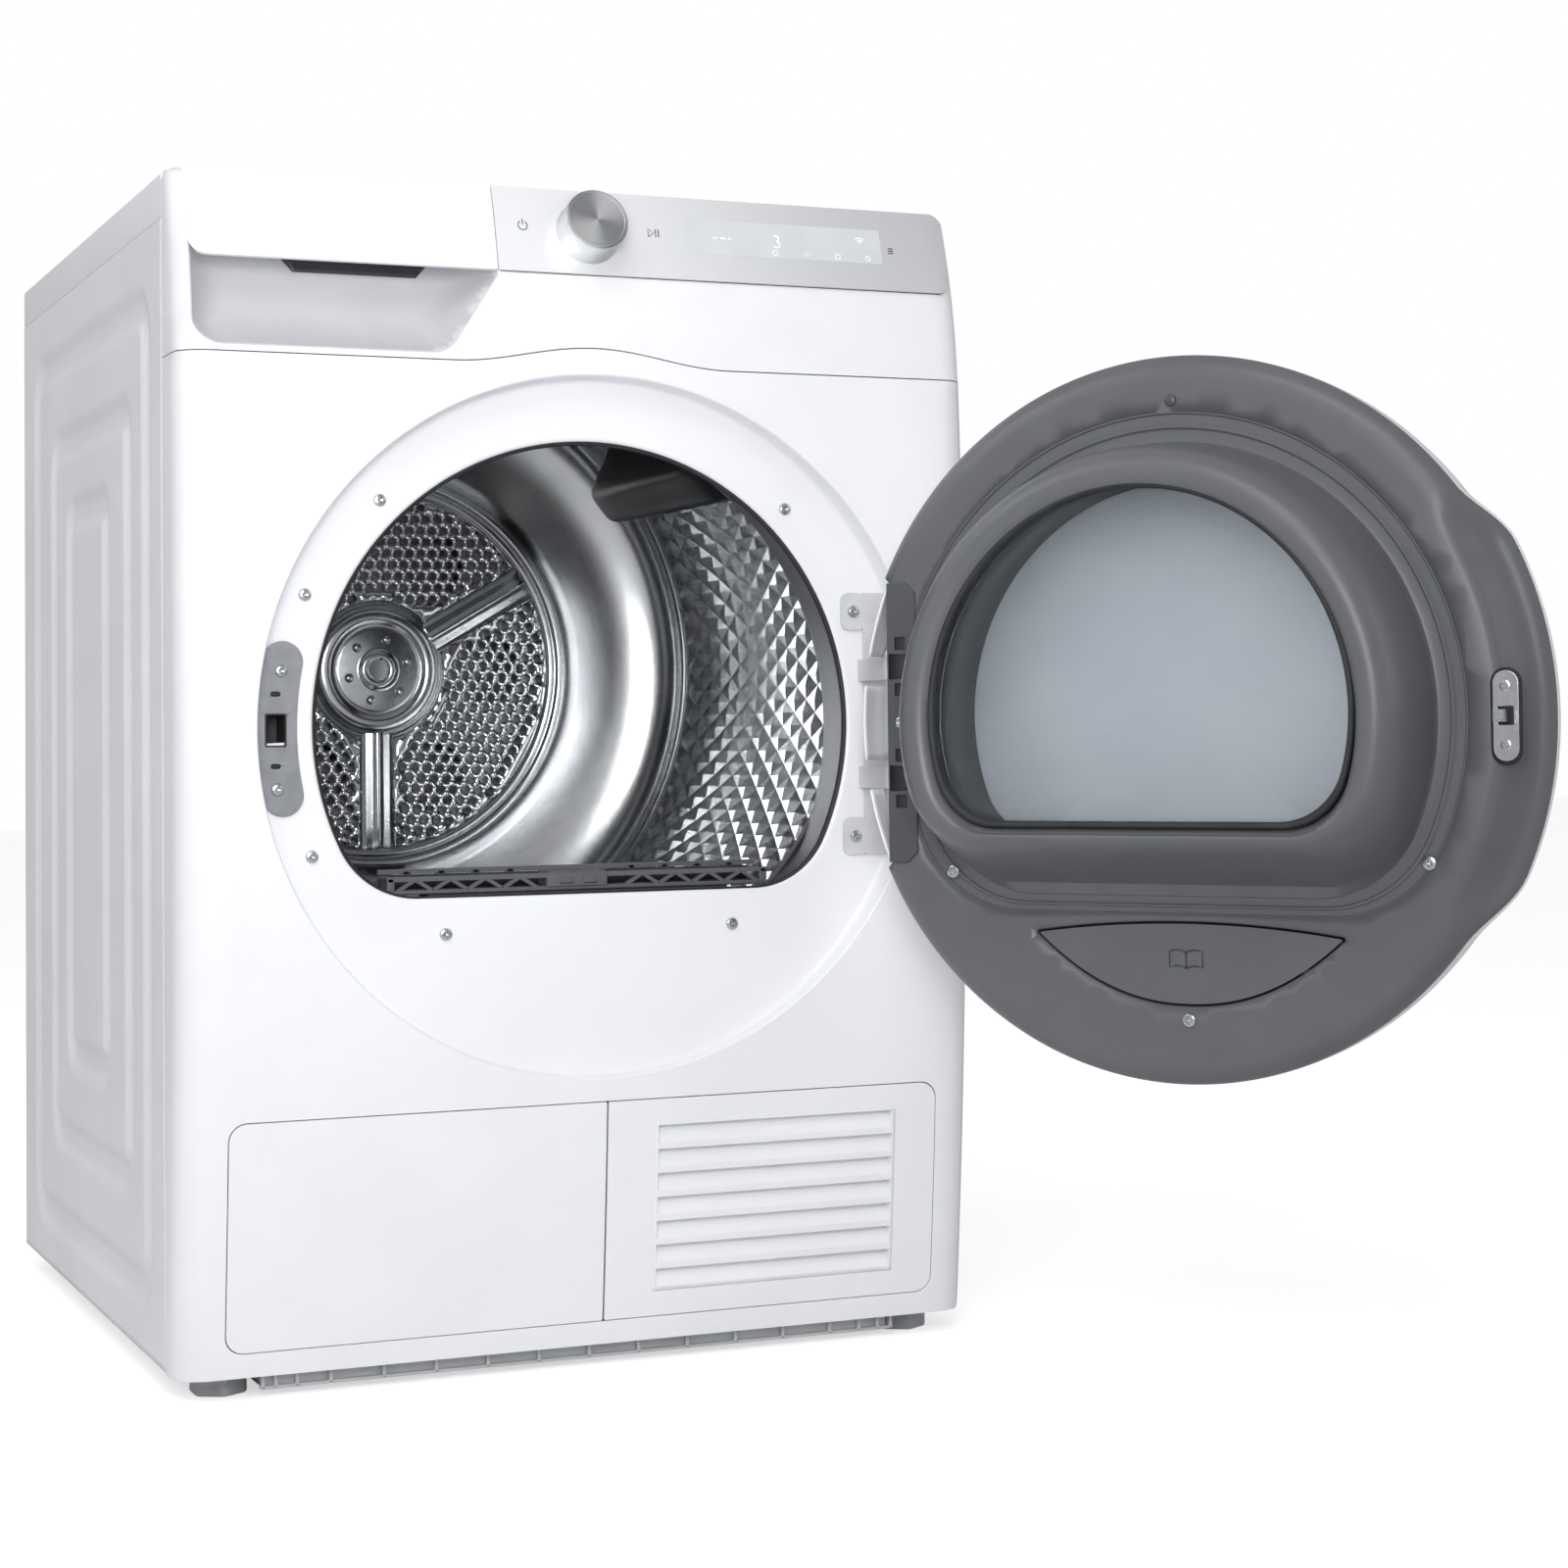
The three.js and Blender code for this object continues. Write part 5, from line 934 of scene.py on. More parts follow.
def beam(p, q, half_w, half_d):
    """A square bar from p to q with its other sides along Y."""
    p, q = np.asarray(p, float), np.asarray(q, float)
    way = (q - p) / np.linalg.norm(q - p)
    y = np.array([0, 1.0, 0])
    side = np.cross(way, y)
    corners = [(-1, -1), (1, -1), (1, 1), (-1, 1)]
    rings = [[end + half_w * u * side + half_d * v * y for u, v in corners] for end in (p, q)]
    return facing(tube(np.array(rings)))


def make_filter():
    """The lint filter's mouth: rails with slanted struts over a mesh, and a latch block in the middle."""
    y0, y1 = FILTER_Y
    low, high = 336.5, FILTER_TOP
    half, strut = 146, 13.0
    parts = [
        facing(block((-half, half), (y0, y1), (low, low + 3.2), 0.8)),
        beam((-half, y0 + 2.4, high - 6.5), (half, y0 + 2.4, high - 6.5), 1.7, 2.0),
        beam((-half, y1 - 2.0, high - 1.9), (half, y1 - 2.0, high - 1.9), 1.7, 1.8),
    ]
    for end in (-1, 1):
        side = tuple(sorted((end * half, end * (half - 6))))
        parts.append(facing(block(side, (y0 + 0.4, y1 - 0.4), (low + 2, high - 5), 1.2)))
        for i, x in enumerate(np.linspace(34, 138, 9)[:-1]):
            a, b = (x, x + strut) if i % 2 == 0 else (x + strut, x)
            parts.append(beam((end * a, y0 + 2.2, low + 2.6), (end * b, y0 + 2.2, high - 7), 1.3, 1.6))
            parts.append(beam((end * a, y1 - 2.2, low + 2.6), (end * b, y1 - 2.2, high - 2.4), 1.3, 1.6))
    parts.append(facing(block((-27, 20), (y0 - 0.6, y1), (low + 1, high - 3.5), 2.0)))
    for x in (-12, 6):
        parts.append(facing(block((x - 5, x + 5), (y0 - 1.8, y0), (low + 5, high - 7.5), 0.6)))
    build("filter_mouth", joined(*parts), GRAPHITE, "filter", ("lint_filter",), crease=25)
    net = np.array([[-138, low + 3], [138, low + 3], [138, high - 4], [-138, high - 4]])
    build("filter_screen", panel(net, middle("lint_filter", 1) + 6, OUT, step=12), RUBBER, "filter",
          thick=0.8)
    cassette = block((-116, 116), (y0 + 2, y1 - 2), (span("lint_filter", 2)[0], low + 0.5), 2)
    build("filter_cassette", facing(cassette), GRAPHITE, "filter", crease=30)


# ---------------------------------------------------------------- drum
def make_drum():
    """The drum's wall of staggered four-sided pyramids, its smooth rims and beads, and its rounded shoulder."""
    r = DRUM_R - 1.2
    wall_front, wall_back, pyramid = -183, 197, 1.9
    columns, rows = 160, 18
    y = np.linspace(wall_front, wall_back, rows + 1)
    a = np.linspace(0, 2 * np.pi, columns, endpoint=False)
    i, j = np.meshgrid(np.arange(rows + 1), np.arange(columns), indexing="ij")
    raised = ((i + j) % 2 == 1) & (i > 0) & (i < rows)
    radius = r - pyramid * raised
    depth = np.broadcast_to(y[:, None], radius.shape)
    points = np.stack([radius * np.cos(a), depth, DRUM_Z + radius * np.sin(a)], -1)
    i, j = np.meshgrid(np.arange(rows), np.arange(columns), indexing="ij")
    k = (j + 1) % columns
    p, q = i * columns + j, i * columns + k
    u, v = (i + 1) * columns + k, (i + 1) * columns + j
    even = ((i + j) % 2 == 0)[..., None]
    first = np.where(even, np.stack([p, q, u], -1), np.stack([p, q, v], -1))
    second = np.where(even, np.stack([p, u, v], -1), np.stack([q, u, v], -1))
    wall = facing((points.reshape(-1, 3), [first.reshape(-1, 3), second.reshape(-1, 3)]), inward=(0, 0, DRUM_Z))
    build("drum_wall", wall, STEEL, "drum", ("drum_shell",), thick=0.8, flat=True)

    front, back = DRUM_FRONT_Y, DRUM_BACK_Y
    lip = [
        (DRUM_R - 18, front), (DRUM_R - 19, front + 0.8), (DRUM_R - 18, front + 1.6), (r - 5, front + 1.8),
        (r - 1.4, front + 3), (r, front + 6), (r, -206), (r - 0.6, -203), (r - 2.0, -200), (r - 2.2, -198),
        (r - 2.0, -196), (r - 0.6, -193), (r, -190), (r, wall_front),
    ]
    rim = facing(turned(lip, (0, 0, DRUM_Z), segments=160), inward=(0, -205, DRUM_Z))
    build("drum_front_rim", rim, STEEL, "drum", thick=0.8, crease=60)
    plate_r, start_y = 178, 213
    reach = r - plate_r - 1
    bead = [(r, wall_back), (r, 200), (r - 1.2, 202.4), (r - 2.4, 205), (r - 1.2, 207.6), (r - 0.6, 209),
            (r - 0.6, 211)]
    turn = np.radians(np.linspace(8, 90, 14))
    shoulder = [(plate_r + reach * math.cos(t) ** 0.9, start_y + (back - 2 - start_y) * math.sin(t))
                for t in turn[:-1]]
    end = [(plate_r, back - 2), (175.5, back - 4.6), (173, back - 5.4), (170.5, back - 4.4), (168.5, back - 2),
           (166, back - 4.2), (163.5, back - 4.4), (161.5, back - 2.2), (159, back - 1.2)]
    shape = turned(bead + shoulder + end, (0, 0, DRUM_Z), segments=160)
    build("drum_shoulder", facing(shape, towards=OUT), STEEL, "drum", thick=0.8, crease=60)


SPOKES = (30, 150, 270)  # degrees above the horizontal
PLATE_Y = DRUM_BACK_Y - 1.2


def make_drum_back():
    """The back plate: three perforated panels between ribbed spokes, and a stepped hub with rivets."""
    panels = [perforated_panel(math.radians(angle)) for angle in (90, 210, 330)]
    build("drum_perforated_panels", joined(*panels), STEEL, "drum", ("drum_back",), thick=0.8,
          crease=30)
    build("drum_spokes", joined(*[spoke(math.radians(angle)) for angle in SPOKES]), STEEL, "drum",
          thick=0.8, crease=60)
    hub = [
        (63, 0), (60, -0.6), (57, -3.2), (54.5, -6.2), (52, -7.4), (47, -7.8), (43.5, -7.2), (41, -5.2),
        (39.5, -4.6), (38.4, -4.8), (37.8, -6.2), (36, -6.6), (20, -6.8), (17.5, -7.2), (16, -8.6), (14, -9.2),
        (11, -9.2), (9.4, -8.4), (8.6, -6.8), (4, -6.6), (0, -6.6),
    ]
    hub_shape = turned([(r, PLATE_Y + h) for r, h in hub], (0, 0, DRUM_Z))
    build("drum_hub", facing(hub_shape, towards=OUT), STEEL, "drum", thick=0.8, crease=50)
    profile = [(4.2, PLATE_Y - 6.4), (4.2, PLATE_Y - 7.4), (3.4, PLATE_Y - 8.6), (1.8, PLATE_Y - 9.3),
               (0, PLATE_Y - 9.5)]
    rivets = []
    for a in np.radians(np.arange(6) * 60 + 15):
        centre = (28 * math.cos(a), 0, DRUM_Z + 28 * math.sin(a))
        rivets.append(facing(turned(profile, centre, segments=20), towards=OUT))
    build("hub_rivets", joined(*rivets), PLATED, "drum", crease=50)


def perforated_panel(angle):
    """A third of the back plate between two spokes, with holes in staggered rows, turned to its angle."""
    pitch, row, hole_r, half, inner, outer = 10.6, 11.9 * 0.87, 3.4, 14.0, 61, 161
    c, s = math.cos(angle), math.sin(angle)
    i, j = np.meshgrid(np.arange(-16, 17), np.arange(0, 16), indexing="ij")
    across = (i + 0.5 * (j % 2)) * pitch
    out = 64 + j * row
    r = np.hypot(across, out)
    lean = np.degrees(np.arctan2(across, out))
    clear = out * math.sin(math.radians(60)) - np.abs(across) * math.cos(math.radians(60))
    fit = (r > 67) & (r < 155) & (clear > half + 5.5) & (np.abs(lean) < 60)
    centres = np.column_stack([across[fit], out[fit]])
    holes = [arc(0, 0, hole_r, 0, 360, 10)[:-1] + centre for centre in centres]
    wide, narrow = math.degrees(math.asin(half / outer)), math.degrees(math.asin(half / inner))
    edge = np.vstack([arc(0, 0, outer, 30 + wide, 150 - wide, 60), arc(0, 0, inner, 150 - narrow, 30 + narrow, 24)])
    flat, tris = sheet(edge, holes, 9)
    u, v = flat.T
    points = np.column_stack([u * s + v * c, np.full(len(u), PLATE_Y), DRUM_Z - u * c + v * s])
    return facing((points, [tris]), towards=OUT)


def spoke(angle):
    """A ribbed spoke from the hub to the rim: one cross-section, faded out at its outer end."""
    t = np.array([-16, -14, -12, -10, -6, -4, -2, 0, 2, 4, 6, 10, 12, 14, 16.0])
    h = np.array([0, 0.6, 2.2, 2.8, 3.0, 3.6, 5.0, 5.6, 5.0, 3.6, 3.0, 2.8, 2.2, 0.6, 0])
    r = np.array([52, 58, 66, 80, 100, 120, 140, 152, 158, 163.0])
    fade = np.array([1, 1, 1, 1, 1, 1, 1, 1, 0.7, 0.2])
    c, s = math.cos(angle), math.sin(angle)
    grid = np.empty((len(r), len(t), 3))
    grid[..., 0] = r[:, None] * c - t * s
    grid[..., 1] = PLATE_Y - 0.2 - h * fade[:, None]
    grid[..., 2] = DRUM_Z + r[:, None] * s + t * c
    return facing(skin(grid), towards=OUT)


def make_lifters():
    """Each lifter: a rounded trapezium leaning in from the wall, narrowed and lowered at both ends."""
    base, ridge = DRUM_R - 3.0, DRUM_R - 52.2
    t = np.array([-42, -38, -30, -23, -18.5, -15, -11, -6, 0, 6, 11, 15, 18.5, 23, 30, 38, 42.0])
    k = np.array([0, 0.1, 0.42, 0.72, 0.9, 0.965, 0.99, 1, 1, 1, 0.99, 0.965, 0.9, 0.72, 0.42, 0.1, 0.0])
    y0, y1 = span("lifter_1", 1)
    length = 290
    along = np.array([0, 2, 6, 12, 20, 30, 60, 100, 145, 190, 230, 260, 270, 278, 284, 288, 290.0])
    rise = np.array([0.0, 0.3, 0.62, 0.84, 0.95, 0.99, 1, 1, 1, 1, 1, 0.99, 0.95, 0.84, 0.62, 0.3, 0.0])
    wide = np.array([0.80, 0.84, 0.89, 0.94, 0.98, 1, 1, 1, 1, 1, 1, 1, 0.98, 0.94, 0.89, 0.84, 0.80])
    for n, angle in enumerate((38, 158, 278)):
        a = math.radians(angle - 90)
        across = wide[:, None] * t[None]
        radius = base - (base - ridge) * rise[:, None] * k[None]
        grid = np.empty((len(along), len(t), 3))
        grid[..., 0] = across * math.cos(a) - radius * math.sin(a)
        grid[..., 1] = (y0 + along * (y1 - y0) / length)[:, None]
        grid[..., 2] = DRUM_Z + across * math.sin(a) + radius * math.cos(a)
        way = (math.sin(a), 0, -math.cos(a))
        build(f"drum_lifter_{n + 1}", facing(skin(grid), towards=way), DARK, "drum", (f"lifter_{n + 1}",),
              thick=1.5, crease=55)


# ---------------------------------------------------------------- door, worked out closed
def swung(shape):
    """A shape of the closed door turned about the hinge axis to where the door stands open."""
    points, faces = shape
    c, s = math.cos(DOOR_OPEN), math.sin(DOOR_OPEN)
    x, y = points[:, 0] - HINGE_X, points[:, 1] - HINGE_Y
    return np.column_stack([HINGE_X + x * c - y * s, HINGE_Y + x * s + y * c, points[:, 2]]), faces


DOOR_N = 288
ANGLES = np.linspace(0, 2 * np.pi, DOOR_N, endpoint=False)


def door_ring(radius, y):
    """A loop about the door's centre over its own angles."""
    return about_door(ANGLES, radius, y)


def d_radius(r, flat, fillet, lift=0.0):
    """Distance from the door's centre to a D outline, raised by lift, in each direction."""
    return polar(d_outline(0, lift, r, flat, fillet), (0, 0), ANGLES)


def grip_share():
    """How much of the grip shows in each direction: whole around the free edge, fading out over 12 degrees."""
    off = np.degrees(np.abs((ANGLES + np.pi) % (2 * np.pi) - np.pi))
    away = 180 - off
    up = np.sin(ANGLES) > 0
    return 1 - smooth((away - np.where(up, 26, 24)) / np.where(up, 11, 13))


GRIP = grip_share()


def hinge_flat(points):
    """Cuts points straight where they pass the hinge; their first and last coordinates are x and z."""
    near = (np.abs(points[:, -1] - DOOR_Z) < HINGE_HALF) & (points[:, 0] > RING_X + HINGE_FLAT)
    points[near, 0] = RING_X + HINGE_FLAT
    return points


def make_inner_frame():
    """The door's inside: rolled rim with the grip, a flat face, D-shaped steps, and the bowl round the window."""
    inner = 226
    plain = resample([(inner, -326), (234, -326.5), (240, -328), (244.5, -331), (247.5, -334.5), (248.8, -338),
                      (249, -341), (248, -345)], 22)
    grip = resample([(inner, -326), (231.5, -328.4), (236.5, -335.5), (242, -343.5), (248, -349), (255, -351.4),
                     (258.6, -355), (258, -359)], 22)
    rows = [hinge_flat(door_ring(r0 + (r1 - r0) * GRIP, y0 + (y1 - y0) * GRIP))
            for (r0, y0), (r1, y1) in zip(plain, grip)]
    rim = skin(np.array(rows[::-1]), around=True)
    edge = hinge_flat(arc(RING_X, DOOR_Z, inner, 0, 360, DOOR_N)[:-1])
    step_d = d_outline(RING_X, DOOR_Z, 209, 133, 84)
    face = panel(edge, FRAME_Y, IN, (step_d, pocket_line(0)), 11)
    steps = []
    for r, y in ((209, 0), (208.3, -0.2), (207.8, -1.0), (207.2, -1.5), (201.5, -1.5), (200.8, -0.9),
                 (200, -0.1), (198.4, -0.1), (197.6, -0.9), (197, -1.5), (191, -1.5), (189, -1.0), (188, 0.6)):
        steps.append(door_ring(d_radius(r, r * 0.62 + 3.4, r * 0.4), FRAME_Y + y))
    for inset, y in ((0, -322), (0.4, -314), (1.8, -302), (3.4, -290), (5.6, -279), (8.5, -271), (12, -266),
                     (16.5, -263), (21, -262.2), (26, -262.6), (30, -264.4), (32.6, -267.4)):
        t = (y - FRAME_Y) / 64
        steps.append(door_ring(d_radius(187.5 - inset, 114 - 27 * t - 0.38 * inset, 62 - 0.5 * inset), y))
    steps.append(door_ring(d_radius(154, 76, 46, 4), -272))
    steps.append(door_ring(d_radius(152, 76, 45, 4), -280))
    bowl = skin(np.array(steps), around=True)
    parts = [facing(p, towards=IN) for p in (rim, face, bowl)]
    build("door_inner_moulding", swung(joined(*parts)), GRAPHITE, "door", ("door_inner_frame",),
          thick=1.6, crease=34)


def make_window():
    """The seal round the door's window, the tunnel behind it, and the glass dish."""
    lift = 4
    seal = [door_ring(d_radius(r, flat, 45, lift), y) for r, flat, y in (
        (154.6, 77, -268.6), (154, 76.4, -266.4), (152.6, 75, -265.6), (150.6, 73, -266.2), (149.6, 72, -268.6),
        (149.8, 72.4, -277))]
    build("window_seal", swung(facing(skin(np.array(seal), around=True), towards=IN)), RUBBER, "door",
          thick=1.2, crease=60)
    wall = [door_ring(d_radius(151 + 14 * t, 76 + 14 * t, 44, lift), -277 - 103 * t)
            for t in np.linspace(0, 1, 8)]
    tunnel = facing(skin(np.array(wall), around=True), inward=(RING_X, -330, DOOR_Z))
    build("window_tunnel", swung(tunnel), GRAPHITE_DARK, "door", thick=1.2, crease=60)
    dish = [door_ring(d_radius(150.4 * k, 74 * k, 44 * k, lift * k), y) for k, y in (
        (0.02, -271.4), (0.3, -271.8), (0.6, -272.8), (0.85, -274.4), (1, -276), (1, -279.6), (0.85, -278.2),
        (0.6, -276.6), (0.3, -275.6), (0.02, -275.2))]
    build("glass_dish", swung(facing(tube(dish))), CLEAR_GLASS, "door", ("door_window",), crease=30)


def make_pocket():
    """The crescent lid under the window in its groove, and its book symbol."""
    build("pocket", swung(pocket_groove()), RUBBER, "door", thick=1.0, crease=50)
    build("pocket_lid", swung(panel(pocket_line(2.0), FRAME_Y - 0.3, IN)), GRAPHITE, "door",
          thick=2.0, bevel=0.7)
    make_book()


def make_door_fixings():
    """Three screws and a pin on the door's inner frame."""
    heads = [screw_head((RING_X + u, FRAME_Y - 0.4, DOOR_Z + v), IN, 5.0)
             for u, v in ((-182, -96), (167, -106), (-12, -204))]
    build("door_frame_screws", swung(joined(*heads)), PLATED, "door", crease=30)
    pin = turned([(4.4, FRAME_Y), (4.2, FRAME_Y + 1.2), (3.2, FRAME_Y + 1.9), (0, FRAME_Y + 2.1)],
                 (RING_X - 5, 0, DOOR_Z + 217), segments=24)
    build("door_frame_pin", swung(facing(pin, towards=IN)), GRAPHITE_DARK, "door", crease=40)


def resample(profile, count):
    """The same profile as a smooth curve: Catmull-Rom through its points, at even steps of their chord length."""
    p = np.asarray(profile, float)
    length = np.concatenate([[0], np.cumsum(np.hypot(*np.diff(p, axis=0).T))])
    slope = np.gradient(p, length, axis=0)
    at = np.linspace(0, length[-1], count)
    i = np.clip(np.searchsorted(length, at, side="right") - 1, 0, len(p) - 2)
    h = (length[i + 1] - length[i])[:, None]
    t = ((at - length[i]) / h[:, 0])[:, None]
    return ((2 * t**3 - 3 * t**2 + 1) * p[i] + (t**3 - 2 * t**2 + t) * h * slope[i]
            + (3 * t**2 - 2 * t**3) * p[i + 1] + (t**3 - t**2) * h * slope[i + 1])


def pocket_line(inset):
    """The crescent pocket under the window: a shallow arch above, a deep bow below, and round ends."""
    left, right, count = -122 + inset, 100 - inset, 40
    u = np.linspace(left, right, count)
    k = (u + 11) / 111
    upper = -137 - 8 * k**2 - inset
    lower = np.minimum(-195 + 46 * np.abs(k) ** 2.2 + inset, upper - 1.0)
    middles, radii = (lower + upper) / 2, np.maximum(0.5, (upper - lower) / 2)
    ends = arc(right, middles[-1], radii[-1], -80, 80, 6)
    tips = arc(left, middles[0], radii[0], 100, 260, 6)
    line = np.vstack([np.column_stack([u, lower]), ends, np.column_stack([u, upper])[::-1], tips])
    return line + (RING_X, DOOR_Z)


def pocket_groove():
    """The thin groove round the pocket's lid, 7 mm deep, with its floor."""
    rows = [standing(pocket_line(inset), FRAME_Y + y) for inset, y in ((0, 0.0), (0.7, -1.0), (2.0, -6.0), (3.0, -7.0))]
    floor = panel(pocket_line(3.0), FRAME_Y - 7.0, IN, step=12)
    return joined(facing(skin(np.array(rows), around=True), towards=IN), floor)


def make_book():
    """A small open-book symbol, dark grey, on the pocket's lid."""
    u0, v0 = RING_X - 10, DOOR_Z - 163
    page = np.array([[0, -6], [4, -4.6], [8, -4.4], [12, -5.4], [12, 5.2], [8, 6.4], [4, 6.2], [0, 4.6]])
    spine = np.array([[u0, v0 - 6], [u0, v0], [u0, v0 + 4.6]])
    shapes = []
    for line in [page * (side, 1) + (u0, v0) for side in (-1, 1)] + [spine]:
        strip = ribbon(line, 1.2)
        grid = np.stack([strip[..., 0], np.full(strip.shape[:2], FRAME_Y - 0.1), strip[..., 1]], -1)
        shapes.append(facing(skin(grid), towards=IN))
    build("pocket_symbol", swung(joined(*shapes)), SYMBOL_INK, "door", thick=0.2, crease=60)


def make_outer_cover():
    """The door's white outside, whose grip stands out, the tinted pane set into it, and the milky sheet behind."""
    inner = [(214, -388), (172, -388), (162, -387.4), (159, -385.4), (158.4, -382)]
    plain = [(247.5, -341), (248.8, -343), (249, -347), (248.6, -356), (246.5, -368), (243, -378), (236, -385),
             (226, -387.6)]
    grip = [(254, -357.6), (257.4, -356.4), (259, -357.4), (258.8, -361), (256, -371), (251, -379.5),
            (242, -385.6), (228, -387.8)]
    p, g = resample_pair(np.array(plain + inner), np.array(grip + inner), 46)
    r = p[:, :1] + (g[:, :1] - p[:, :1]) * GRIP
    y = p[:, 1:] + (g[:, 1:] - p[:, 1:]) * GRIP
    grid = np.stack([RING_X + r * np.cos(ANGLES), y, DOOR_Z + r * np.sin(ANGLES)], -1)
    points, (faces,) = skin(grid, around=True)
    mid = points[faces].mean(1)
    off_arm = np.abs(np.abs(mid[:, 2] - DOOR_Z) - ARM_Z)
    near = (mid[:, 0] > RING_X + 196) & (off_arm < 11) & (mid[:, 1] > -386)
    shape = facing((points, [faces[~near]]), towards=OUT)
    build("door_cover", swung(shape), GLOSS, "door", ("door_outer_cover",), thick=2.0,
          crease=50)
    profile = [(0, -385.4), (120, -385.3), (160, -384.8), (165, -384.2), (166, -383), (166, -381.2),
               (165, -380.6), (0, -380.6)]
    pane = facing(turned(profile, (RING_X, 0, DOOR_Z), segments=144))
    build("tinted_pane", swung(pane), TINTED_PANE, "door", ("door_outer_pane",), crease=30)
    backing = [door_ring(d_radius(158.6 * k, 83.6 * k, 44 * k, 4 * k), y) for k, y in
               ((0.02, -346), (0.5, -346), (0.98, -346), (1, -347), (0.98, -348), (0.5, -348), (0.02, -348))]
    build("pane_backing", swung(facing(tube(backing))), BACKING, "door", crease=30)


def resample_pair(p, g, count):
    """Two profiles of equal length at the same shares of the first one's chord length."""
    length = np.concatenate([[0], np.cumsum(np.hypot(*np.diff(p, axis=0).T))])
    at = np.unique(np.concatenate([length, np.linspace(0, length[-1], count)]))
    return [np.column_stack([np.interp(at, length, q[:, i]) for i in (0, 1)]) for q in (p, g)]


def make_hinge_cover():
    """The dark cover beside the hinge arms, with a slot and two square windows at each arm, and one screw."""
    x0, x1 = RING_X + 195, RING_X + HINGE_FLAT
    half, nick = 100, 8
    line = np.array([[x0, -half + nick], [x0 + nick, -half], [x1, -half], [x1, half], [x0 + nick, half],
                     [x0, half - nick]]) + (0, DOOR_Z)
    holes = []
    for s in (-1, 1):
        c = DOOR_Z + ARM_Z * s
        inner, outer = x0 + 7, x1 - 1.2
        holes.append(np.array([[inner, c - 8.6], [outer, c - 9.2], [outer, c + 9.2], [inner, c + 8.6]]))
        for d in (-16.5, 16.5):
            holes.append(rounded_rect(x0 + 8, x0 + 17, c + d - 4.6, c + d + 4.6, 1))
    build("hinge_side_cover", swung(panel(line, FRAME_Y + 1.8, IN, holes)), COVER_GREY, "door",
          ("hinge_cover",), thick=1.6, bevel=0.5)
    # A black sheet just behind the cover, seen through its slots and windows as painted shade.
    back, front, reach = x0 + 3, x1 - 1, half - 6
    well = np.array([[back, -reach], [front, -reach], [front, reach], [back, reach]]) + (0, DOOR_Z)
    build("hinge_holes_painted_shade", swung(panel(well, FRAME_Y + 0.4, IN, step=20)), RUBBER, "door", thick=0.3)
    head = screw_head((x0 + 13, FRAME_Y + 1.7, DOOR_Z), IN, 4.2)
    build("hinge_cover_screw", swung(head), PLATED, "door", crease=30)


def make_striker():
    """The polished striker plate on the door, in its black-lined recess."""
    line = rounded_rect(LATCH_X - 10.4, LATCH_X + 10.4, DOOR_Z - 33, DOOR_Z + 30, 10, 6)
    build("striker_recess", swung(panel(line, FRAME_Y + 0.15, IN)), RUBBER, "door", thick=0.4)
    line = rounded_rect(LATCH_X - 8.5, LATCH_X + 8.5, DOOR_Z - 30, DOOR_Z + 28, 8, 6)
    gap = rounded_rect(LATCH_X - 5.2, LATCH_X + 5.2, DOOR_Z - 7, DOOR_Z + 5, 1)
    build("striker_plate", swung(panel(line, FRAME_Y + 1.9, IN, (gap,))), NICKEL, "door", ("latch_plate",),
          thick=1.3, bevel=0.35)
    heads = [screw_head((LATCH_X, FRAME_Y + 1.3, DOOR_Z + dz), IN, 4.0, 1.0) for dz in (-20, 18)]
    build("striker_screws", swung(joined(*heads)), PLATED, "door", crease=30)


def make_lock():
    """The lock plate on the ring: a bent strip with round ends, a socket, two slots and two screws."""
    mid_r, end_r, reach = RING_R - 17.5, 14.5, 11.4
    low, high = 180 - reach, 180 + reach
    ends = [(RING_X + mid_r * math.cos(t), DOOR_Z + mid_r * math.sin(t))
            for t in (math.radians(low), math.radians(high))]
    outline = np.vstack([
        arc(RING_X, DOOR_Z, mid_r + end_r, low, high, 20), arc(*ends[1], end_r, high, high + 180, 16)[1:-1],
        arc(RING_X, DOOR_Z, mid_r - end_r, high, low, 20), arc(*ends[0], end_r, low - 180, low, 16)[1:-1],
    ])
    hole = socket_line(0)
    slots = [rounded_rect(LATCH_X - 3.4, LATCH_X + 3.4, DOOR_Z + dz - 1.6, DOOR_Z + dz + 1.6, 1.4, 4)
             for dz in (24, -26)]
    build("lock_face", panel(outline, FLOOR_Y - 2.2, OUT, (hole, *slots)), PHOSPHATED,
          stands_for=("lock_plate",), thick=1.8, bevel=0.5)
    build("lock_slots", joined(*[panel(line, FLOOR_Y - 1.4, OUT) for line in slots]), RUBBER,
          thick=0.4)
    rows = [standing(socket_line(inset, 3), FLOOR_Y + y)
            for inset, y in ((-1, -2.6), (0, -2.2), (0.6, 20), (5.6, 21))]
    build("lock_socket", facing(tube(rows, start=False), towards=OUT), RUBBER, thick=0.8,
          crease=40)
    heads = [screw_head((LATCH_X + dx, FLOOR_Y - 2.2, DOOR_Z + dz), OUT, 4.4, 1.9)
             for dx, dz in ((4, 40), (1, -42))]
    build("lock_screws", joined(*heads), PLATED, crease=30)
    heads = [screw_head((HINGE_X - 22, FLOOR_Y - 2.4, DOOR_Z + s * 84), OUT, 4.6) for s in (-1, 1)]
    build("hinge_plate_screws", joined(*heads), PLATED, crease=30)


def socket_line(inset, steps=8):
    """The lock's socket, narrowed by inset."""
    return rounded_rect(LATCH_X - 6.5 + inset, LATCH_X + 6.5 - inset, DOOR_Z - 11.5 + inset,
                        DOOR_Z + 9.5 - inset, 1, steps)


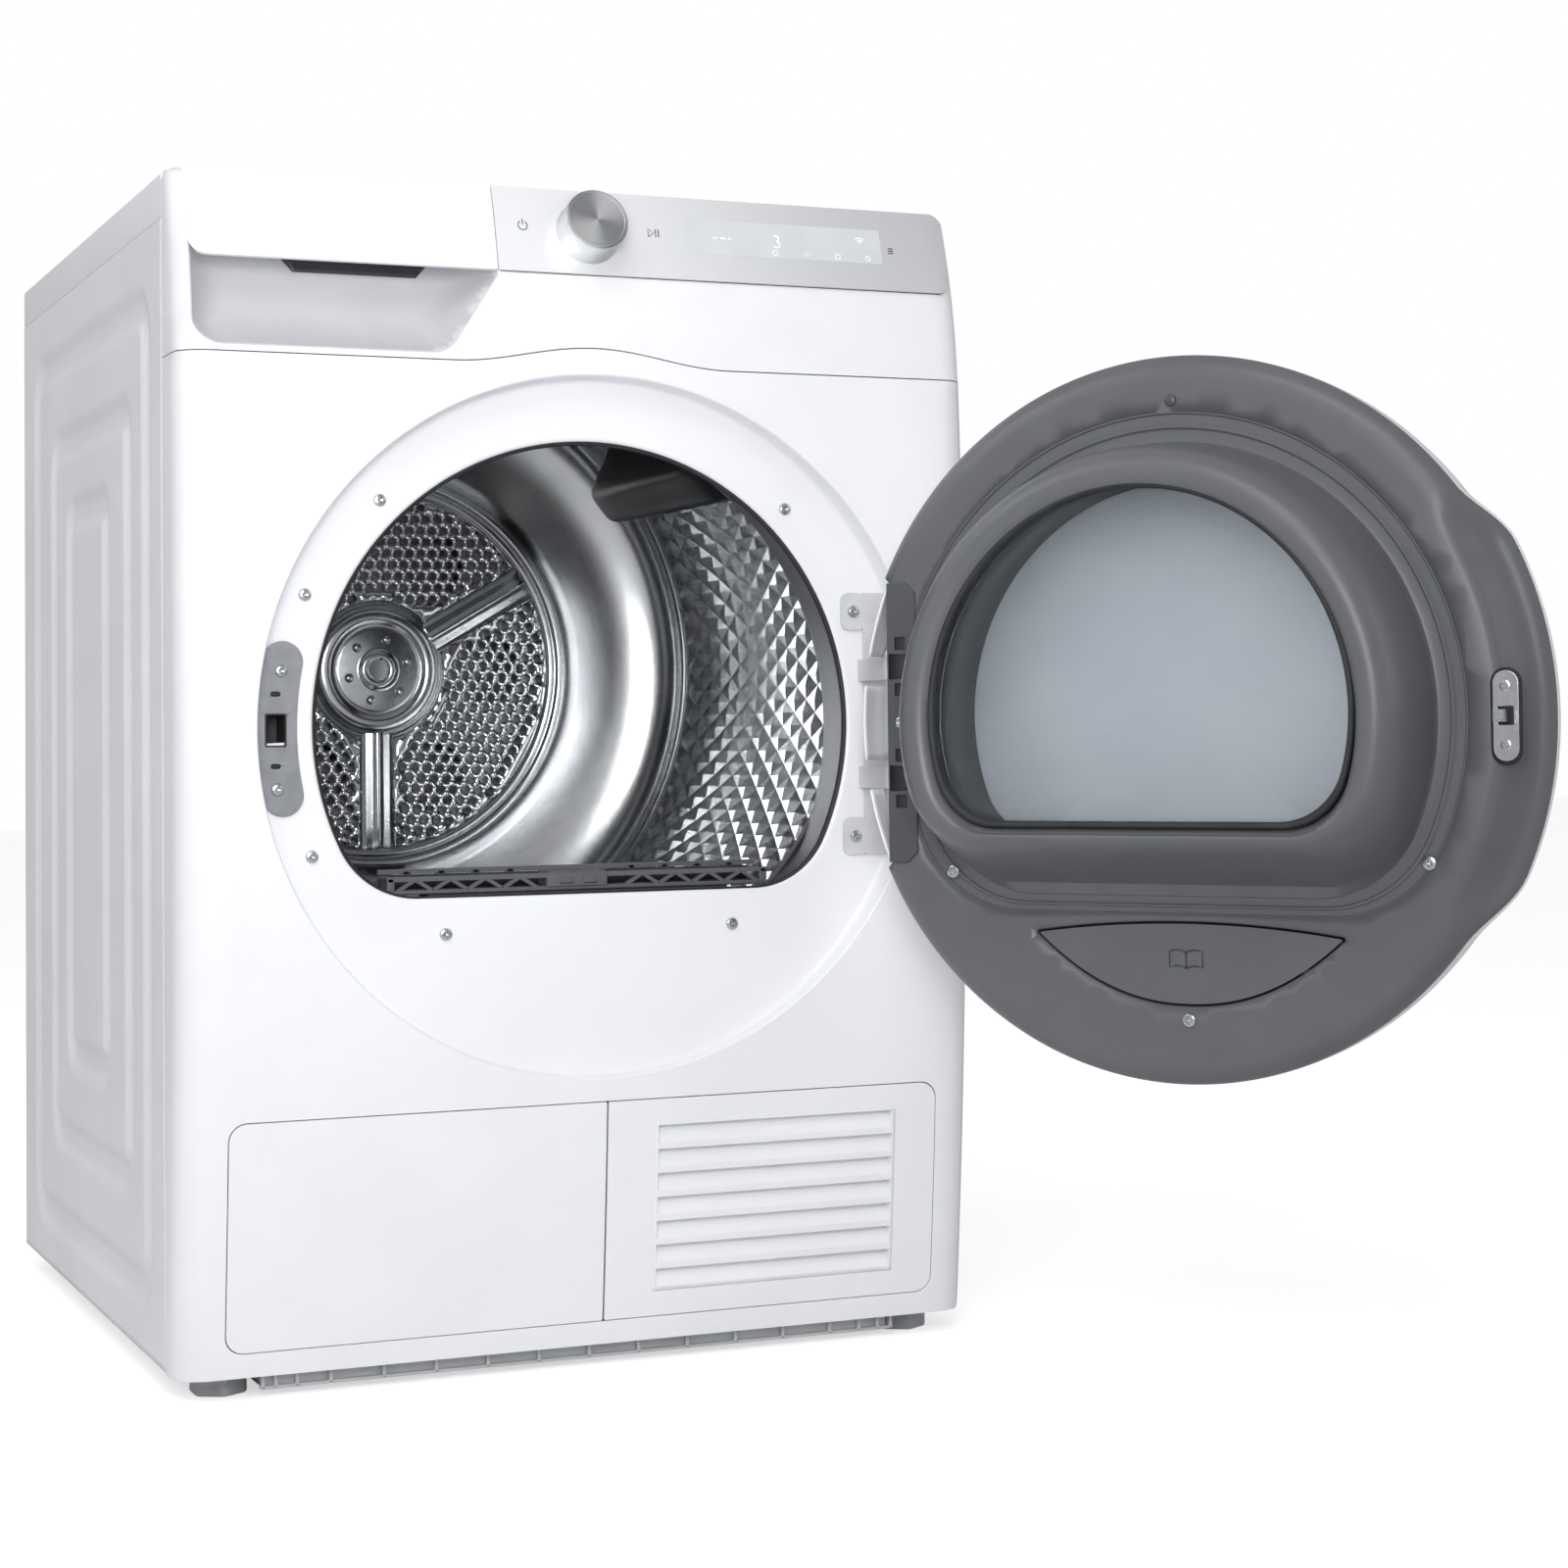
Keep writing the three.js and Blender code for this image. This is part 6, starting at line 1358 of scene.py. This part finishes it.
# ---------------------------------------------------------------- CAD nodes that stay as they are
KEPT = {
    PAN: ("base_pan", "idler_pulley", "support_roller_left", "support_roller_right"),
    ZINC: ("rear_panel", "rear_duct_cover", "rear_bulkhead", "rear_bearing", "tank_housing", "idler_arm"),
    LIGHT_PLATE: ("hinge_plate",),
    PLATED: ("hinge_leaf", "hinge_pin", "latch_hook", "drum_shaft", "motor_rotor"),
    DARK: ("mains_inlet", "control_board", "filter_housing", "blower_fan", "blower_housing", "exchanger_cover",
           "cover_lever_left", "cover_lever_right"),
    RECESS: ("water_tank",),
    RUBBER: ("drum_belt",),
    CAST: ("motor",),
    STOVED: ("compressor",),
    FINS: ("evaporator", "condenser_coil"),
}


def dress_kept():
    """Gives every CAD node that stays its finish."""
    for finish, names in KEPT.items():
        for name in names:
            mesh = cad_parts[name].data
            mesh.materials.clear()
            mesh.materials.append(finish)


# ---------------------------------------------------------------- camera, floor and light
def make_camera():
    """A long lens at door height, turned 23 degrees to the right of the front."""
    yaw, pitch, roll = 0.407348, 0.0342352, -0.0112086
    level = math.cos(pitch)
    ahead = np.array([math.sin(yaw) * level, math.cos(yaw) * level, math.sin(pitch)])
    right0 = np.array([math.cos(yaw), -math.sin(yaw), 0])
    up0 = np.cross(right0, ahead)
    data = bpy.data.cameras.new("camera")
    data.lens, data.sensor_width, data.shift_x, data.shift_y = 68.2, 36.0, 0.0, -0.09375
    camera = bpy.data.objects.new("camera", data)
    basis = np.eye(4)
    basis[:3, 0] = math.cos(roll) * right0 + math.sin(roll) * up0
    basis[:3, 1] = -math.sin(roll) * right0 + math.cos(roll) * up0
    basis[:3, 2] = -ahead
    basis[:3, 3] = (-0.7204, -2.3459, 0.4443)
    camera.matrix_world = Matrix(basis.tolist())
    bpy.context.scene.collection.objects.link(camera)
    bpy.context.scene.camera = camera


def lamp(name, place, target, width, height, power, spread=180):
    """A soft box: an area light at place that faces target; spread is the full angle of its grid in degrees."""
    data = bpy.data.lights.new(name, "AREA")
    data.shape, data.size, data.size_y, data.energy = "RECTANGLE", width, height, power
    data.spread = math.radians(spread)
    light = bpy.data.objects.new(name, data)
    light.location = place
    light.rotation_euler = (Vector(target) - Vector(place)).to_track_quat("-Z", "Y").to_euler()
    bpy.context.scene.collection.objects.link(light)


def make_surround():
    """An even white surround: it shows as pure white and lights the scene at half strength."""
    world = bpy.data.worlds.new("surround")
    world.use_nodes = True
    tree = world.node_tree
    tree.nodes.clear()
    sky = add(tree, "ShaderNodeBackground", {"Color": (0.97, 0.98, 1, 1), "Strength": 0.44})
    seen = add(tree, "ShaderNodeBackground", {"Color": (1, 1, 1, 1), "Strength": 1.0})
    path = add(tree, "ShaderNodeLightPath")
    mix = add(tree, "ShaderNodeMixShader",
              {0: path.outputs["Is Camera Ray"], 1: sky.outputs[0], 2: seen.outputs[0]})
    add(tree, "ShaderNodeOutputWorld", {"Surface": mix.outputs[0]})
    bpy.context.scene.world = world


def make_studio():
    """A wide white floor, a key light high before the left corner, a side light, a fill and a drum lamp."""
    scene = bpy.context.scene
    scene.view_settings.view_transform = "Standard"
    make_surround()
    half = 14.0
    corners = [(-half, -half, 0), (half, -half, 0), (half, half, 0), (-half, half, 0)]
    mesh = bpy.data.meshes.new("studio_floor")
    mesh.from_pydata(corners, [], [(0, 1, 2, 3)])
    floor = bpy.data.objects.new("studio_floor", mesh)
    floor.location = (0, 0, FLOOR_Z / 1000 - 0.0002)
    scene.collection.objects.link(floor)
    material, tree, shader, _ = start("white_studio_paper", Base_Color=(0.78, 0.78, 0.78, 1), Roughness=0.9,
                                      Emission_Color=(1, 1, 1, 1))
    path = add(tree, "ShaderNodeLightPath")
    glow = add(tree, "ShaderNodeMath", {0: path.outputs["Is Camera Ray"], 1: 0.6}, operation="MULTIPLY")
    tree.links.new(glow.outputs[0], shader.inputs["Emission Strength"])
    mesh.materials.append(material)
    lamp("key", (-1.3, -2.3, 3.1), (0, 0, 0.5), 2.2, 2.0, 36)
    lamp("side", (-2.8, 0.3, 2.3), (0, 0, 0.75), 2.0, 1.4, 17)
    lamp("fill", (2.6, -2.8, 1.6), (0, 0, 0.45), 1.8, 1.8, 8)
    lamp("drum", (-0.42, -1.45, 0.72), (0.05, 0.2, 0.52), 0.5, 0.5, 3.2, 110)


make_front()
make_lower_panels()
make_console()
make_marks()
make_dial()
make_side(-1, "left")
make_side(1, "right")
make_top()
make_plinth()
make_opening()
make_filter()
make_drum()
make_drum_back()
make_lifters()
make_inner_frame()
make_window()
make_pocket()
make_door_fixings()
make_outer_cover()
make_hinge_cover()
make_striker()
make_lock()
dress_kept()
make_camera()
make_studio()
